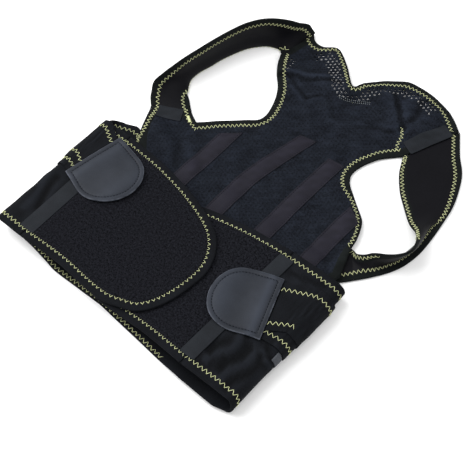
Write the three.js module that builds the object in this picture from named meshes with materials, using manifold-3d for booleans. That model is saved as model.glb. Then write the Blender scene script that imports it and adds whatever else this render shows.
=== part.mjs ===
// A posture corrector: a perforated neoprene back panel with shoulder straps and a waist belt,
// lying on its back with the belt's two wings folded over each other on top.
// Millimetres, +Z up, +X to the wearer's left, +Y from the waist towards the neck.

import * as THREE from "three";
import { mergeVertices } from "three/addons/utils/BufferGeometryUtils.js";
import Module from "manifold-3d";

const wasm = await Module();
wasm.setup();

// Clearance between pieces that touch on the real thing.
const GAP = 0.3;

// Waist belt, as it lies folded.
const BELT_HEIGHT = 162;
const LOOP_WIDTH = 320;
const LOOP_SHIFT = -29; // the middle of the folded belt, from the spine
const BELT_THICK = 3;
const FOLD_REACH = 9; // how far a fold bulges past the last flat place
const LOOP_ROOM = 5.4; // the free height left for the waist in the middle
const FOLD_RISE = 8; // how much higher the upper layer lies at the folds
const WING_LENGTH = 170;
const TAPE_WIDTH = 17.4;
const TAPE_THICK = 0.8;
const PILE_BORDER = 9; // plain hem round a loop-pile panel
const PILE_THICK = 1.2;

// Back panel.
const HALF_BACK = 100;
const BACK_RISE = 272; // from the belt's upper edge to the top of the yoke
const BACK_THICK = 3;
const CHANNEL_WIDTH = 20;
const CHANNEL_THICK = 1.2;
const HOLE_WIDTH = 2.6;
const HOLE_PITCH = 7.4;

// Shoulder straps.
const STRAP_THICK = 2.6;
const STRAP_STAND = 45; // the height of a strap that stands on its edge
const STRAP_TAPE_WIDTH = 17;
const STRAP_TUCK = 20; // the hidden end of the left strap, below the back panel's flank

// Elastic pull straps and their tabs.
const ELASTIC_THICK = 1.2;
const ELASTIC_WIDTH = 56;
const ELASTIC_BASE_WIDTH = 62;
const UNDERLAP = 55; // how far the elastic runs in below the back of the belt
const TAB_WIDTH = 70;
const TAB_DEPTH = 64;
const TAB_THICK = 1.8;

// Pitch of the folds that the cloth is divided in.
const PITCH = 12;

const MATERIALS = {
  neoprene: { color: 0x23262d, roughness: 0.9 },
  channel: { color: 0x2e2a33, roughness: 0.75 },
  belt: { color: 0x1d1f22, roughness: 0.85 },
  pile: { color: 0x141517, roughness: 1 },
  tape: { color: 0x333437, roughness: 0.8 },
  satin: { color: 0x22232a, roughness: 0.55 },
  elastic: { color: 0x1f2023, roughness: 0.8 },
  leather: { color: 0x3d404b, roughness: 0.45 },
};

const group = new THREE.Group();
group.name = "posture_corrector";

function smooth(t) {
  const c = Math.min(1, Math.max(0, t));
  return c * c * (3 - 2 * c);
}

const mix = (a, b, t) => a + (b - a) * t;

// Straight from one value of a table to the next; the table's first column is its place.
function lookUp(rows, place, key, at) {
  const after = rows.findIndex((row) => row[place] >= at);
  if (after === 0) return rows[0][key];
  if (after < 0) return rows[rows.length - 1][key];
  const [a, b] = [rows[after - 1], rows[after]];
  return mix(a[key], b[key], (at - a[place]) / (b[place] - a[place]));
}

// A profile across the belt, made straight between the cloth's fold lines, so that layers on it
// stay an even distance apart.
function folded(profile) {
  return (x) => {
    const low = Math.floor(x / PITCH) * PITCH;
    return mix(profile(low), profile(low + PITCH), (x - low) / PITCH);
  };
}

function foldLines(from, to) {
  const lines = [];
  for (let k = Math.ceil(from / PITCH); k * PITCH <= to; k++) lines.push(k * PITCH);
  return lines;
}

// The two sides. Each seam joins the belt's back to a wing, and its inset from the fold is a share
// of the loop's width at the upper and the lower edge. Swell is how full the fold is at each edge,
// and the tape over the seam starts a share of the belt's height down, below the right tab. The
// slopes are how steeply each elastic's low and high edge climb from the tab to the fold.
const SIDES = {
  right: {
    sign: -1,
    seamUpper: 0.118,
    seamLower: 0.118,
    swellUpper: 0.95,
    swellLower: 1.1,
    tapeUpper: 0.53,
    tab: { inset: 0.078, down: 0.272, turn: -11 },
    slopes: { elastic_base: [-0.33, -0.6], elastic_strap: [-0.6, -0.6] },
  },
  left: {
    sign: 1,
    seamUpper: 0.19,
    seamLower: 0.214,
    swellUpper: 1.45,
    swellLower: 0.75,
    tapeUpper: 0.06,
    tab: { inset: 0.111, down: 0.404, turn: 195.5 },
    slopes: { elastic_base: [0.1, 0.43], elastic_strap: [0.66, 0.43] },
  },
};

const foldX = (side) => LOOP_SHIFT + (side.sign * LOOP_WIDTH) / 2;
const arcX = (side) => foldX(side) - side.sign * (BELT_THICK / 2 + FOLD_REACH);

function seamX(side, y) {
  const share = mix(side.seamUpper, side.seamLower, -y / BELT_HEIGHT);
  return foldX(side) - side.sign * LOOP_WIDTH * share;
}

// Heights of the layers, each the lower face of its cloth.
const ELASTIC_STACK = 2 * (ELASTIC_THICK + GAP) + GAP / 2;
const LIFT_FADE = 2 * PITCH;
const LAYER_STACK = BELT_THICK + PILE_THICK + 2 * GAP;
const LOOP_FLOOR = BELT_THICK + BACK_THICK + CHANNEL_THICK + 2 * GAP;
const LEFT_RISE_START = 0.06; // share of the loop's width in from the left fold
const LEFT_RISE_RUN = 0.41;
const RIGHT_RISE = 0.4; // share of the rise that the upper wing still climbs at its own fold
const RIGHT_RISE_START = 0.12;
const RIGHT_RISE_RUN = 0.28;

// The back of the belt rises over the elastic that lies below it near each fold.
const floorLift = folded((x) => {
  const inboard = Math.min(x - foldX(SIDES.right), foldX(SIDES.left) - x);
  return ELASTIC_STACK * (1 - smooth((inboard - UNDERLAP - PITCH) / LIFT_FADE));
});

// The wearer's left wing lies below, and the right wing lies on it.
const lowerWing = folded((x) => {
  const inboard = foldX(SIDES.left) - x;
  const climb = 1 - smooth((inboard / LOOP_WIDTH - LEFT_RISE_START) / LEFT_RISE_RUN);
  return LOOP_FLOOR + LOOP_ROOM + FOLD_RISE * climb;
});

const upperWing = folded((x) => {
  const inboard = x - foldX(SIDES.right);
  const climb = 1 - smooth((inboard / LOOP_WIDTH - RIGHT_RISE_START) / RIGHT_RISE_RUN);
  return lowerWing(x) + LAYER_STACK + FOLD_RISE * RIGHT_RISE * climb;
});

const wingUnder = (side) => (side.sign > 0 ? lowerWing : upperWing);

// The belt's own edges on the layer that lies on the floor: where along the loop's width, and how
// far the lower and the upper edge wander, as shares of the belt's height.
const BACK_EDGES = [
  { along: 0, lower: 0.06, upper: 0.09 },
  { along: 0.07, lower: 0.04, upper: 0.15 },
  { along: 0.14, lower: 0.03, upper: 0.13 },
  { along: 0.25, lower: 0.0, upper: 0.02 },
  { along: 0.45, lower: 0.012, upper: 0 },
  { along: 0.62, lower: -0.015, upper: 0 },
  { along: 0.8, lower: -0.045, upper: 0 },
  { along: 0.93, lower: -0.05, upper: 0 },
  { along: 1, lower: -0.01, upper: 0 },
];

function backEdge(x, key) {
  const along = (x - foldX(SIDES.right)) / LOOP_WIDTH;
  return lookUp(BACK_EDGES, "along", key, along) * BELT_HEIGHT;
}

// Turns a three.js geometry into a solid, and a solid into a mesh.
function solidOf(geometry) {
  const bare = geometry.clone();
  bare.deleteAttribute("normal");
  bare.deleteAttribute("uv");
  const merged = mergeVertices(bare, 1e-4);
  const build = (triVerts) =>
    new wasm.Manifold(
      new wasm.Mesh({
        numProp: 3,
        vertProperties: new Float32Array(merged.attributes.position.array),
        triVerts,
      }),
    );
  const index = new Uint32Array(merged.index.array);
  const solid = build(index);
  return solid.volume() < 0 ? build(index.reverse()) : solid;
}

function addPiece(name, solid, finish) {
  const mesh = solid.getMesh();
  const geometry = new THREE.BufferGeometry();
  const positions = new THREE.BufferAttribute(new Float32Array(mesh.vertProperties), 3);
  geometry.setAttribute("position", positions);
  geometry.setIndex(new THREE.BufferAttribute(new Uint32Array(mesh.triVerts), 1));
  geometry.computeVertexNormals();
  const piece = new THREE.Mesh(geometry, new THREE.MeshStandardMaterial(MATERIALS[finish]));
  piece.name = name;
  group.add(piece);
}

// A closed sheet over a net of places: each has a point in the cloth's middle and a unit normal.
function sheetOver(places, thick) {
  const [stations, rows] = [places.length, places[0].length];
  const positions = [];
  for (const face of [0.5, -0.5])
    for (const station of places)
      for (const { point, normal } of station)
        positions.push(...point.clone().addScaledVector(normal, face * thick).toArray());
  const at = (face, i, j) => (face * stations + i) * rows + j;
  const index = [];
  const quad = (a, b, c, d) => index.push(a, b, c, a, c, d);
  for (let i = 0; i + 1 < stations; i++) {
    for (let j = 0; j + 1 < rows; j++) {
      quad(at(0, i, j), at(0, i + 1, j), at(0, i + 1, j + 1), at(0, i, j + 1));
      quad(at(1, i, j), at(1, i, j + 1), at(1, i + 1, j + 1), at(1, i + 1, j));
    }
    quad(at(0, i, 0), at(1, i, 0), at(1, i + 1, 0), at(0, i + 1, 0));
    quad(at(0, i + 1, rows - 1), at(1, i + 1, rows - 1), at(1, i, rows - 1), at(0, i, rows - 1));
  }
  for (let j = 0; j + 1 < rows; j++) {
    quad(at(0, 0, j + 1), at(1, 0, j + 1), at(1, 0, j), at(0, 0, j));
    const last = stations - 1;
    quad(at(0, last, j), at(1, last, j), at(1, last, j + 1), at(0, last, j + 1));
  }
  const geometry = new THREE.BufferGeometry();
  geometry.setAttribute("position", new THREE.Float32BufferAttribute(positions, 3));
  geometry.setIndex(index);
  return solidOf(geometry);
}

// A prism over an outline, tall enough to pass through every layer.
const PRISM_BELOW = -10;
const PRISM_ABOVE = 90;

function prism(outline) {
  const shape = new THREE.Shape(outline);
  const depth = PRISM_ABOVE - PRISM_BELOW;
  const geometry = new THREE.ExtrudeGeometry(shape, { depth, bevelEnabled: false });
  return solidOf(geometry.translate(0, 0, PRISM_BELOW));
}

// Cloth of even thickness that lies on a height and is cut to an outline. Belt cloth bends only
// across the belt, so it needs fold lines one way; the back panel's cloth needs them both ways.
function laidCloth(outline, under, thick, bothWays = false) {
  const box = new THREE.Box2().setFromPoints(outline);
  const columns = foldLines(box.min.x - PITCH, box.max.x + PITCH);
  const [low, high] = [box.min.y - PITCH, box.max.y + PITCH];
  const lines = bothWays ? foldLines(low, high) : [low, high];
  const up = new THREE.Vector3(0, 0, 1);
  const places = columns.map((x) =>
    lines.map((y) => ({
      point: new THREE.Vector3(x, y, under(x, y) + thick / 2),
      normal: up,
    })),
  );
  return sheetOver(places, thick).intersect(prism(outline));
}

// Outline through a few points: each stretch is a smooth curve, and stretches meet in corners.
function outlineOf(stretches, steps = 3) {
  const outline = [];
  for (const stretch of stretches) {
    const points = stretch.map(([x, y]) => new THREE.Vector2(x, y));
    const curve = new THREE.SplineCurve(points);
    const count = points.length > 2 ? (points.length - 1) * steps : 1;
    for (let k = 0; k < count; k++) outline.push(curve.getPoint(k / count));
  }
  return outline;
}

// Moves an outline that turns anticlockwise inwards.
function inset(outline, distance) {
  const count = outline.length;
  return outline.map((point, k) => {
    const before = point.clone().sub(outline[(k + count - 1) % count]);
    const after = outline[(k + 1) % count].clone().sub(point);
    const [a, b] = [before.normalize(), after.normalize()];
    const normal = new THREE.Vector2(-a.y - b.y, a.x + b.x).normalize();
    const stretch = Math.max(0.5, normal.dot(new THREE.Vector2(-a.y, a.x)));
    return point.clone().addScaledVector(normal, distance / stretch);
  });
}

// Back panel. Its outline is in shares of half its width and of its rise above the belt, from the
// left neck corner round; the tail inside the belt is in shares of the loop's width and height.
const NECK = [
  [-1.04, 0.963],
  [-0.94, 0.927],
  [-0.8, 0.925],
  [-0.65, 0.949],
  [-0.42, 0.895],
  [-0.19, 0.82],
  [-0.12, 0.871],
  [0.07, 0.949],
  [0.28, 0.993],
  [0.58, 0.996],
  [0.87, 0.963],
  [1.085, 0.909],
];
const LEFT_ARMHOLE = [
  [0.795, 0.659],
  [0.62, 0.585],
  [0.52, 0.49],
  [0.56, 0.426],
  [0.75, 0.368],
  [0.95, 0.309],
  [1.04, 0.239],
  [1.07, 0.18],
];
const TAIL = [
  [0.462, 0.08],
  [0.44, -0.08],
  [0.4, -0.3],
  [0.39, -0.94],
  [-0.21, -0.94],
  [-0.235, -0.3],
  [-0.31, -0.1],
  [-0.395, 0.1],
  [-0.43, 0.24],
];
const RIGHT_FLANGE = [
  [-1.77, 0.21],
  [-1.34, 0.287],
];
const RIGHT_ARMHOLE = [
  [-1.22, 0.264],
  [-1.03, 0.335],
  [-0.83, 0.4],
  [-0.7, 0.45],
  [-0.72, 0.52],
  [-0.82, 0.607],
  [-1.0, 0.685],
  [-1.13, 0.772],
];

const onBack = ([across, up]) => [across * HALF_BACK, up * BACK_RISE];
const inLoop = ([across, up]) => [LOOP_SHIFT + across * LOOP_WIDTH, up * BELT_HEIGHT];

const neck = NECK.map(onBack);
const leftArmhole = LEFT_ARMHOLE.map(onBack);
const rightArmhole = RIGHT_ARMHOLE.map(onBack);
const rightFlange = RIGHT_FLANGE.map(onBack);
const tail = TAIL.map(inLoop);

const backOutline = outlineOf([
  neck,
  [neck[neck.length - 1], leftArmhole[0]],
  leftArmhole,
  [leftArmhole[leftArmhole.length - 1], tail[0]],
  tail.slice(0, 3),
  [tail[2], tail[3]],
  [tail[3], tail[4]],
  [tail[4], tail[5]],
  tail.slice(5),
  [tail[tail.length - 1], rightFlange[0]],
  rightFlange,
  [rightFlange[1], rightArmhole[0]],
  rightArmhole,
  [rightArmhole[rightArmhole.length - 1], neck[0]],
]).reverse();

// Soft ridges in the back panel: from and to in the back's shares, height as a share of the cloth's
// thickness and half width as a share of half the back.
const RIDGES = [
  { from: [-1.02, 0.72], to: [-0.32, 0.78], height: 1.5, reach: 0.13 },
  { from: [-0.85, 0.63], to: [-0.25, 0.68], height: 1, reach: 0.12 },
  { from: [-0.62, 0.93], to: [-0.3, 0.84], height: 1, reach: 0.14 },
  { from: [0.1, 0.86], to: [0.72, 0.8], height: 1.5, reach: 0.14 },
  { from: [0.3, 0.97], to: [0.8, 0.93], height: 0.85, reach: 0.12 },
  { from: [0.5, 0.7], to: [0.2, 0.6], height: 0.85, reach: 0.14 },
  { from: [-0.55, 0.1], to: [-0.56, 0.45], height: 0.6, reach: 0.14 },
  { from: [0.58, 0.12], to: [0.52, 0.38], height: 0.6, reach: 0.13 },
];

// The flank that the left strap's end lies below, from its low to its high end.
const flankLow = tail[0];
const flankHigh = leftArmhole[leftArmhole.length - 1];

function distanceTo(from, to, x, y) {
  const [dx, dy] = [to[0] - from[0], to[1] - from[1]];
  const t = ((x - from[0]) * dx + (y - from[1]) * dy) / (dx * dx + dy * dy);
  const c = Math.min(1, Math.max(0, t));
  return Math.hypot(x - from[0] - dx * c, y - from[1] - dy * c);
}

// Lower face of the back panel: on the belt in the loop, on the strap's end, and else on the floor.
const BELT_FADE = 22;
const FLANK_FADE = 1.5 * PITCH;

function backUnder(x, y) {
  const past = y - backEdge(x, "upper") - PITCH;
  const onBelt = (BELT_THICK + GAP + floorLift(x)) * (1 - smooth(past / BELT_FADE));
  const fromFlank = distanceTo(flankLow, flankHigh, x, y) - STRAP_TUCK - PITCH;
  const onStrap = (STRAP_THICK + 2 * GAP) * (1 - smooth(fromFlank / FLANK_FADE));
  let ridges = 0;
  for (const { from, to, height, reach } of RIDGES) {
    const away = distanceTo(onBack(from), onBack(to), x, y) / (reach * HALF_BACK);
    ridges += height * BACK_THICK * Math.exp(-away * away);
  }
  const inTheOpen = smooth(past / BELT_FADE);
  return Math.max(onBelt, onStrap) + ridges * inTheOpen;
}

const backTop = (x, y) => backUnder(x, y) + BACK_THICK + GAP;

// Ventilation holes by the neck, in staggered fields: a corner in the back's shares.
const HOLE_FIELDS = [
  { across: -0.66, up: 0.815, columns: 6, rows: 5 },
  { across: 0.12, up: 0.86, columns: 10, rows: 4 },
];

function ventHoles() {
  let holes = null;
  for (const { across, up, columns, rows } of HOLE_FIELDS)
    for (let row = 0; row < rows; row++)
      for (let column = 0; column < columns; column++) {
        const height = PRISM_ABOVE - PRISM_BELOW;
        const peg = new THREE.CylinderGeometry(HOLE_WIDTH / 2, HOLE_WIDTH / 2, height, 6);
        const [x, y] = onBack([across, up]);
        peg.rotateX(Math.PI / 2);
        peg.translate(
          x + (column + (row % 2) / 2) * HOLE_PITCH,
          y + (row * HOLE_PITCH * Math.sqrt(3)) / 2,
          PRISM_BELOW + height / 2,
        );
        const hole = solidOf(peg);
        holes = holes ? holes.add(hole) : hole;
      }
  return holes;
}

function buildBack() {
  const cloth = laidCloth(backOutline, backUnder, BACK_THICK, true);
  addPiece("back_panel", cloth.subtract(ventHoles()), "neoprene");
}

// Stay channels along the spine: the middle line at the foot, a third up and the head, the head's
// height, and how much higher its left corner is.
const CHANNELS = [
  { foot: -0.83, waist: -0.83, head: -0.825, up: 0.31, slant: 0.065 },
  { foot: -0.29, waist: -0.285, head: -0.13, up: 0.49, slant: 0.015 },
  { foot: 0.27, waist: 0.265, head: 0.3, up: 0.467, slant: 0.01 },
  { foot: 0.835, waist: 0.83, head: 0.85, up: 0.31, slant: -0.05 },
];
const CHANNEL_FOOT = -0.86; // share of the belt's height
const CHANNEL_BEND = 0.42; // share of the way up to the head where the middle line bends

function buildChannels() {
  CHANNELS.forEach(({ foot, waist, head, up, slant }, k) => {
    const middle = [
      [foot * HALF_BACK, CHANNEL_FOOT * BELT_HEIGHT],
      [foot * HALF_BACK, 0],
      [waist * HALF_BACK, up * BACK_RISE * CHANNEL_BEND],
      [head * HALF_BACK, up * BACK_RISE],
    ];
    const half = CHANNEL_WIDTH / 2;
    const rise = (slant * BACK_RISE) / 2;
    const top = middle.length - 1;
    const edge = (sign) =>
      middle.map(([x, y], n) => [x + sign * half, y + (n === top ? sign * rise : 0)]);
    const [rightSide, leftSide] = [edge(-1), edge(1).reverse()];
    const outline = outlineOf([
      rightSide,
      [rightSide[top], leftSide[0]],
      leftSide,
      [leftSide[top], rightSide[0]],
    ]).reverse();
    addPiece(`stay_channel_${k + 1}`, laidCloth(outline, backTop, CHANNEL_THICK, true), "channel");
  });
}

// Waist belt. A place on the loop: on the upper layer, round a fold, or on the floor layer.
// Out is the distance outwards from the middle of the belt's own cloth.
const ARC_STEPS = 8;

function onUpper(side, x, y, out) {
  const z = wingUnder(side)(x) + BELT_THICK / 2 + out;
  return { point: new THREE.Vector3(x, y, z), normal: new THREE.Vector3(0, 0, 1) };
}

function onFloor(x, y, out) {
  const z = floorLift(x) + BELT_THICK / 2 - out;
  return { point: new THREE.Vector3(x, y, z), normal: new THREE.Vector3(0, 0, -1) };
}

function onFold(side, turn, y, out) {
  const x = arcX(side);
  const high = wingUnder(side)(x) + BELT_THICK / 2;
  const low = floorLift(x) + BELT_THICK / 2;
  const swell = mix(side.swellUpper, side.swellLower, smooth(-y / BELT_HEIGHT));
  const [reach, half] = [FOLD_REACH * swell, (high - low) / 2];
  const [c, s] = [Math.cos(turn), Math.sin(turn)];
  const normal = new THREE.Vector3((side.sign * c) / reach, 0, s / half).normalize();
  const point = new THREE.Vector3(x + side.sign * reach * c, y, (high + low) / 2 + half * s);
  return { point: point.addScaledVector(normal, out), normal };
}

// The fold's turn goes from straight up to straight down in even steps.
const foldTurn = (step) => Math.PI * (0.5 - step / ARC_STEPS);

const BELT_ROWS = 5;

function buildBelt() {
  const stations = [];
  const layers = (place, upper, lower) => {
    const station = [];
    for (let row = 0; row <= BELT_ROWS; row++)
      station.push(place(mix(lower, upper, row / BELT_ROWS)));
    stations.push(station);
  };
  const goRound = (side, steps) => {
    const x = arcX(side);
    for (const step of steps) {
      const share = smooth(step / ARC_STEPS);
      const upper = backEdge(x, "upper") * share;
      const lower = -BELT_HEIGHT + backEdge(x, "lower") * share;
      layers((y) => onFold(side, foldTurn(step), y, 0), upper, lower);
    }
  };
  const seam = (side) =>
    layers((y) => onUpper(side, seamX(side, y) + (side.sign * GAP) / 2, y, 0), 0, -BELT_HEIGHT);
  const flat = (side) => {
    const { sign } = side;
    const inner = sign * Math.max(sign * seamX(side, 0), sign * seamX(side, -BELT_HEIGHT));
    const [from, to] = [inner + sign, arcX(side) - sign].sort((a, b) => a - b);
    return foldLines(from, to);
  };
  const steps = Array.from({ length: ARC_STEPS + 1 }, (_, step) => step);
  const { right, left } = SIDES;
  seam(right);
  for (const x of flat(right).reverse()) layers((y) => onUpper(right, x, y, 0), 0, -BELT_HEIGHT);
  goRound(right, steps);
  for (const x of foldLines(arcX(right) + 1, arcX(left) - 1))
    layers(
      (y) => onFloor(x, y, 0),
      backEdge(x, "upper"),
      -BELT_HEIGHT + backEdge(x, "lower"),
    );
  goRound(left, [...steps].reverse());
  for (const x of flat(left).reverse()) layers((y) => onUpper(left, x, y, 0), 0, -BELT_HEIGHT);
  seam(left);
  addPiece("belt_back", sheetOver(stations, BELT_THICK), "belt");
}

// Wing outline from the seam round the free end: along in wing lengths, down in belt heights.
const WING = [
  [0.3, 0.02],
  [0.56, 0.07],
  [0.8, 0.16],
  [0.93, 0.27],
  [1, 0.43],
  [0.995, 0.6],
  [0.95, 0.78],
  [0.87, 0.91],
  [0.76, 0.965],
  [0.62, 1],
  [0.3, 0.985],
];

function wingOutline(side) {
  const { sign } = side;
  const along = ([length, down]) => {
    const y = -down * BELT_HEIGHT;
    return [seamX(side, y) - sign * (GAP / 2 + length * WING_LENGTH), y];
  };
  const round = [[0, 0], ...WING, [0, 1]].map(along);
  const outline = outlineOf([round, [round[round.length - 1], round[0]]]);
  return sign > 0 ? outline : outline.reverse();
}

function buildWings() {
  for (const [name, side] of Object.entries(SIDES)) {
    const outline = wingOutline(side);
    const under = wingUnder(side);
    const top = (x) => under(x) + BELT_THICK + GAP;
    addPiece(`wing_${name}`, laidCloth(outline, under, BELT_THICK), "belt");
    addPiece(`pile_${name}`, laidCloth(inset(outline, PILE_BORDER), top, PILE_THICK), "pile");
    const edge = (y, half) => [seamX(side, y) + half, y];
    const [upper, lower] = [-side.tapeUpper * BELT_HEIGHT, PILE_BORDER - BELT_HEIGHT];
    const half = TAPE_WIDTH / 2;
    const corners = [edge(upper, half), edge(upper, -half), edge(lower, -half), edge(lower, half)];
    const tape = corners.map(([x, y]) => new THREE.Vector2(x, y));
    addPiece(`seam_tape_${name}`, laidCloth(tape, top, TAPE_THICK), "tape");
  }
}

// Pull tab: straight where the elastic is sewn on, and round at its end.
const TAB_STRAIGHT = 0.42; // share of the depth before the sides turn in
const TAB_FULLNESS = 0.8; // below 1 the end is fuller than a half circle
const TAB_ARC_STEPS = 12;

function tabFrame(side) {
  const { inset: share, down, turn } = side.tab;
  const angle = THREE.MathUtils.degToRad(turn);
  return {
    middle: new THREE.Vector2(
      foldX(side) - side.sign * share * LOOP_WIDTH,
      -down * BELT_HEIGHT,
    ),
    along: new THREE.Vector2(Math.cos(angle), Math.sin(angle)),
    across: new THREE.Vector2(-Math.sin(angle), Math.cos(angle)),
  };
}

function tabOutline(side) {
  const { middle, along, across } = tabFrame(side);
  const place = (u, v) => middle.clone().addScaledVector(along, u).addScaledVector(across, v);
  const half = TAB_WIDTH / 2;
  const straight = TAB_STRAIGHT * TAB_DEPTH;
  const outline = [place(0, -half)];
  for (let step = 0; step <= TAB_ARC_STEPS; step++) {
    const turn = Math.PI * (step / TAB_ARC_STEPS - 0.5);
    const bow = Math.cos(turn) ** TAB_FULLNESS;
    outline.push(place(straight + (TAB_DEPTH - straight) * bow, half * Math.sin(turn)));
  }
  outline.push(place(0, half));
  return outline;
}

function buildTabs() {
  for (const [name, side] of Object.entries(SIDES)) {
    const under = wingUnder(side);
    const lies = (x) => under(x) + BELT_THICK + PILE_THICK + 2 * GAP;
    addPiece(`pull_tab_${name}`, laidCloth(tabOutline(side), lies, TAB_THICK), "leather");
  }
}

// Elastic straps: two layers from the tab's straight edge, out over the belt's side, round the
// fold and in below the back of the belt. Shift moves a layer down along the tab's edge.
const ELASTICS = [
  { name: "elastic_base", layer: 0, width: ELASTIC_BASE_WIDTH, shift: 0.02 },
  { name: "elastic_strap", layer: 1, width: ELASTIC_WIDTH, shift: -0.06 },
];
const ELASTIC_ROWS = 2;

function buildElastics() {
  for (const [name, side] of Object.entries(SIDES))
    for (const { name: piece, layer, width, shift } of ELASTICS) {
      const { middle, along, across } = tabFrame(side);
      const { sign } = side;
      const out = BELT_THICK / 2 + GAP + ELASTIC_THICK / 2 + layer * (ELASTIC_THICK + GAP);
      const [lowSlope, highSlope] = side.slopes[piece];
      const rows = [];
      for (let row = 0; row <= ELASTIC_ROWS; row++) {
        const share = row / ELASTIC_ROWS;
        const start = middle.clone().addScaledVector(along, -GAP);
        start.addScaledVector(across, sign * (shift * TAB_WIDTH - width * (share - 0.5)));
        start.slope = mix(lowSlope, highSlope, share);
        rows.push(start);
      }
      const far = sign * Math.max(...rows.map((start) => sign * start.x));
      const [from, to] = [far + sign, arcX(side) - sign].sort((a, b) => a - b);
      const lines = foldLines(from, to);
      if (sign < 0) lines.reverse();
      const atX = (start, x) => start.y + start.slope * (x - start.x);
      const atFold = (start) => atX(start, arcX(side));
      const stations = [rows.map((start) => onUpper(side, start.x, start.y, out))];
      for (const x of lines)
        stations.push(rows.map((start) => onUpper(side, x, atX(start, x), out)));
      for (let step = 0; step <= ARC_STEPS; step++)
        stations.push(rows.map((start) => onFold(side, foldTurn(step), atFold(start), out)));
      const inner = arcX(side) - sign * UNDERLAP;
      for (const x of [arcX(side) - (sign * UNDERLAP) / 2, inner])
        stations.push(rows.map((start) => onFloor(x, atFold(start), out)));
      addPiece(`${piece}_${name}`, sheetOver(stations, ELASTIC_THICK), "elastic");
    }
}

// Shoulder straps. Each row is a section: the edge that stays near the floor and the edge that is
// turned up, both in the back's shares, and how high the second one stands, as a share of the
// height that a strap on its edge reaches.
const STRAPS = {
  right: [
    { low: [-1.31, 0.261], high: [-1.72, 0.184], rise: 0 },
    { low: [-1.34, 0.287], high: [-1.77, 0.21], rise: 0 },
    { low: [-1.46, 0.324], high: [-1.85, 0.246], rise: 0.18 },
    { low: [-1.58, 0.368], high: [-1.85, 0.301], rise: 0.49 },
    { low: [-1.67, 0.419], high: [-1.78, 0.368], rise: 0.71 },
    { low: [-1.68, 0.478], high: [-1.73, 0.434], rise: 0.8 },
    { low: [-1.64, 0.537], high: [-1.69, 0.5], rise: 0.82 },
    { low: [-1.61, 0.596], high: [-1.64, 0.574], rise: 0.87 },
    { low: [-1.56, 0.654], high: [-1.58, 0.64], rise: 0.91 },
    { low: [-1.48, 0.721], high: [-1.49, 0.71], rise: 0.98 },
    { low: [-1.36, 0.772], high: [-1.35, 0.779], rise: 1 },
    { low: [-1.24, 0.79], high: [-1.2, 0.853], rise: 0.8 },
    { low: [-1.16, 0.79], high: [-1.05, 0.934], rise: 0.44 },
    { low: [-1.07, 0.779], high: [-1, 0.971], rise: 0.07 },
  ],
  left: [
    { low: [1.09, 0.912], high: [0.8, 0.662], rise: 0 },
    { low: [1.26, 0.816], high: [0.89, 0.588], rise: 0 },
    { low: [1.41, 0.746], high: [1.03, 0.518], rise: 0 },
    { low: [1.5, 0.676], high: [1.18, 0.463], rise: 0.04 },
    { low: [1.57, 0.596], high: [1.34, 0.404], rise: 0.16 },
    { low: [1.6, 0.522], high: [1.47, 0.364], rise: 0.33 },
    { low: [1.62, 0.449], high: [1.57, 0.316], rise: 0.58 },
    { low: [1.63, 0.39], high: [1.61, 0.272], rise: 0.67 },
    { low: [1.63, 0.338], high: [1.6, 0.239], rise: 0.71 },
    { low: [1.61, 0.283], high: [1.54, 0.21], rise: 0.71 },
    { low: [1.57, 0.232], high: [1.45, 0.188], rise: 0.67 },
    { low: [1.49, 0.176], high: [1.33, 0.173], rise: 0.56 },
    { low: [1.38, 0.118], high: [1.17, 0.165], rise: 0.2 },
    { low: [1.29, 0.077], high: [1.08, 0.186], rise: 0 },
    { low: [1.24, 0.055], high: [1.02, 0.176], rise: 0 },
    { low: [1.17, 0.029], high: [0.95, 0.151], rise: 0 },
  ],
};
const STRAP_STATIONS = 42;
const STRAP_ROWS = 3;

function strapNet(rows) {
  const edgeThrough = (key) =>
    new THREE.CatmullRomCurve3(
      rows.map((row) => {
        const [x, y] = onBack(row[key]);
        return new THREE.Vector3(x, y, key === "high" ? row.rise * STRAP_STAND : 0);
      }),
    );
  const [low, high] = [edgeThrough("low"), edgeThrough("high")];
  const section = (t) => {
    const [foot, head] = [low.getPoint(t), high.getPoint(t)];
    head.z = Math.max(0, head.z);
    const widthwise = head.clone().sub(foot);
    const flat = Math.hypot(widthwise.x, widthwise.y) / widthwise.length();
    const clear = new THREE.Vector3(0, 0, GAP / 2 + (STRAP_THICK / 2) * flat);
    return { foot: foot.add(clear), head: head.add(clear), widthwise };
  };
  return Array.from({ length: STRAP_STATIONS + 1 }, (_, k) => {
    const t = k / STRAP_STATIONS;
    const step = 0.5 / STRAP_STATIONS;
    const { foot, head, widthwise } = section(t);
    const [before, after] = [section(Math.max(0, t - step)), section(Math.min(1, t + step))];
    return Array.from({ length: STRAP_ROWS + 1 }, (_, row) => {
      const v = row / STRAP_ROWS;
      const behind = before.foot.clone().lerp(before.head, v);
      const heading = after.foot.clone().lerp(after.head, v).sub(behind);
      const normal = heading.cross(widthwise).normalize();
      return { point: foot.clone().lerp(head, v), normal };
    });
  });
}

// Tape over each strap's seam, on the back panel's side of it, between the two hems.
const STRAP_HEM = 7.2;

function strapTape(from, to, towards) {
  const a = new THREE.Vector2(...from);
  const b = new THREE.Vector2(...to);
  const run = b.clone().sub(a).normalize();
  const aside = new THREE.Vector2(-run.y, run.x).multiplyScalar(towards);
  const near = [a, b].map((p, n) =>
    p.clone().addScaledVector(run, n ? -STRAP_HEM : STRAP_HEM).addScaledVector(aside, GAP),
  );
  const far = near.map((p) => p.clone().addScaledVector(aside, STRAP_TAPE_WIDTH));
  return [near[0], near[1], far[1], far[0]];
}

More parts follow.
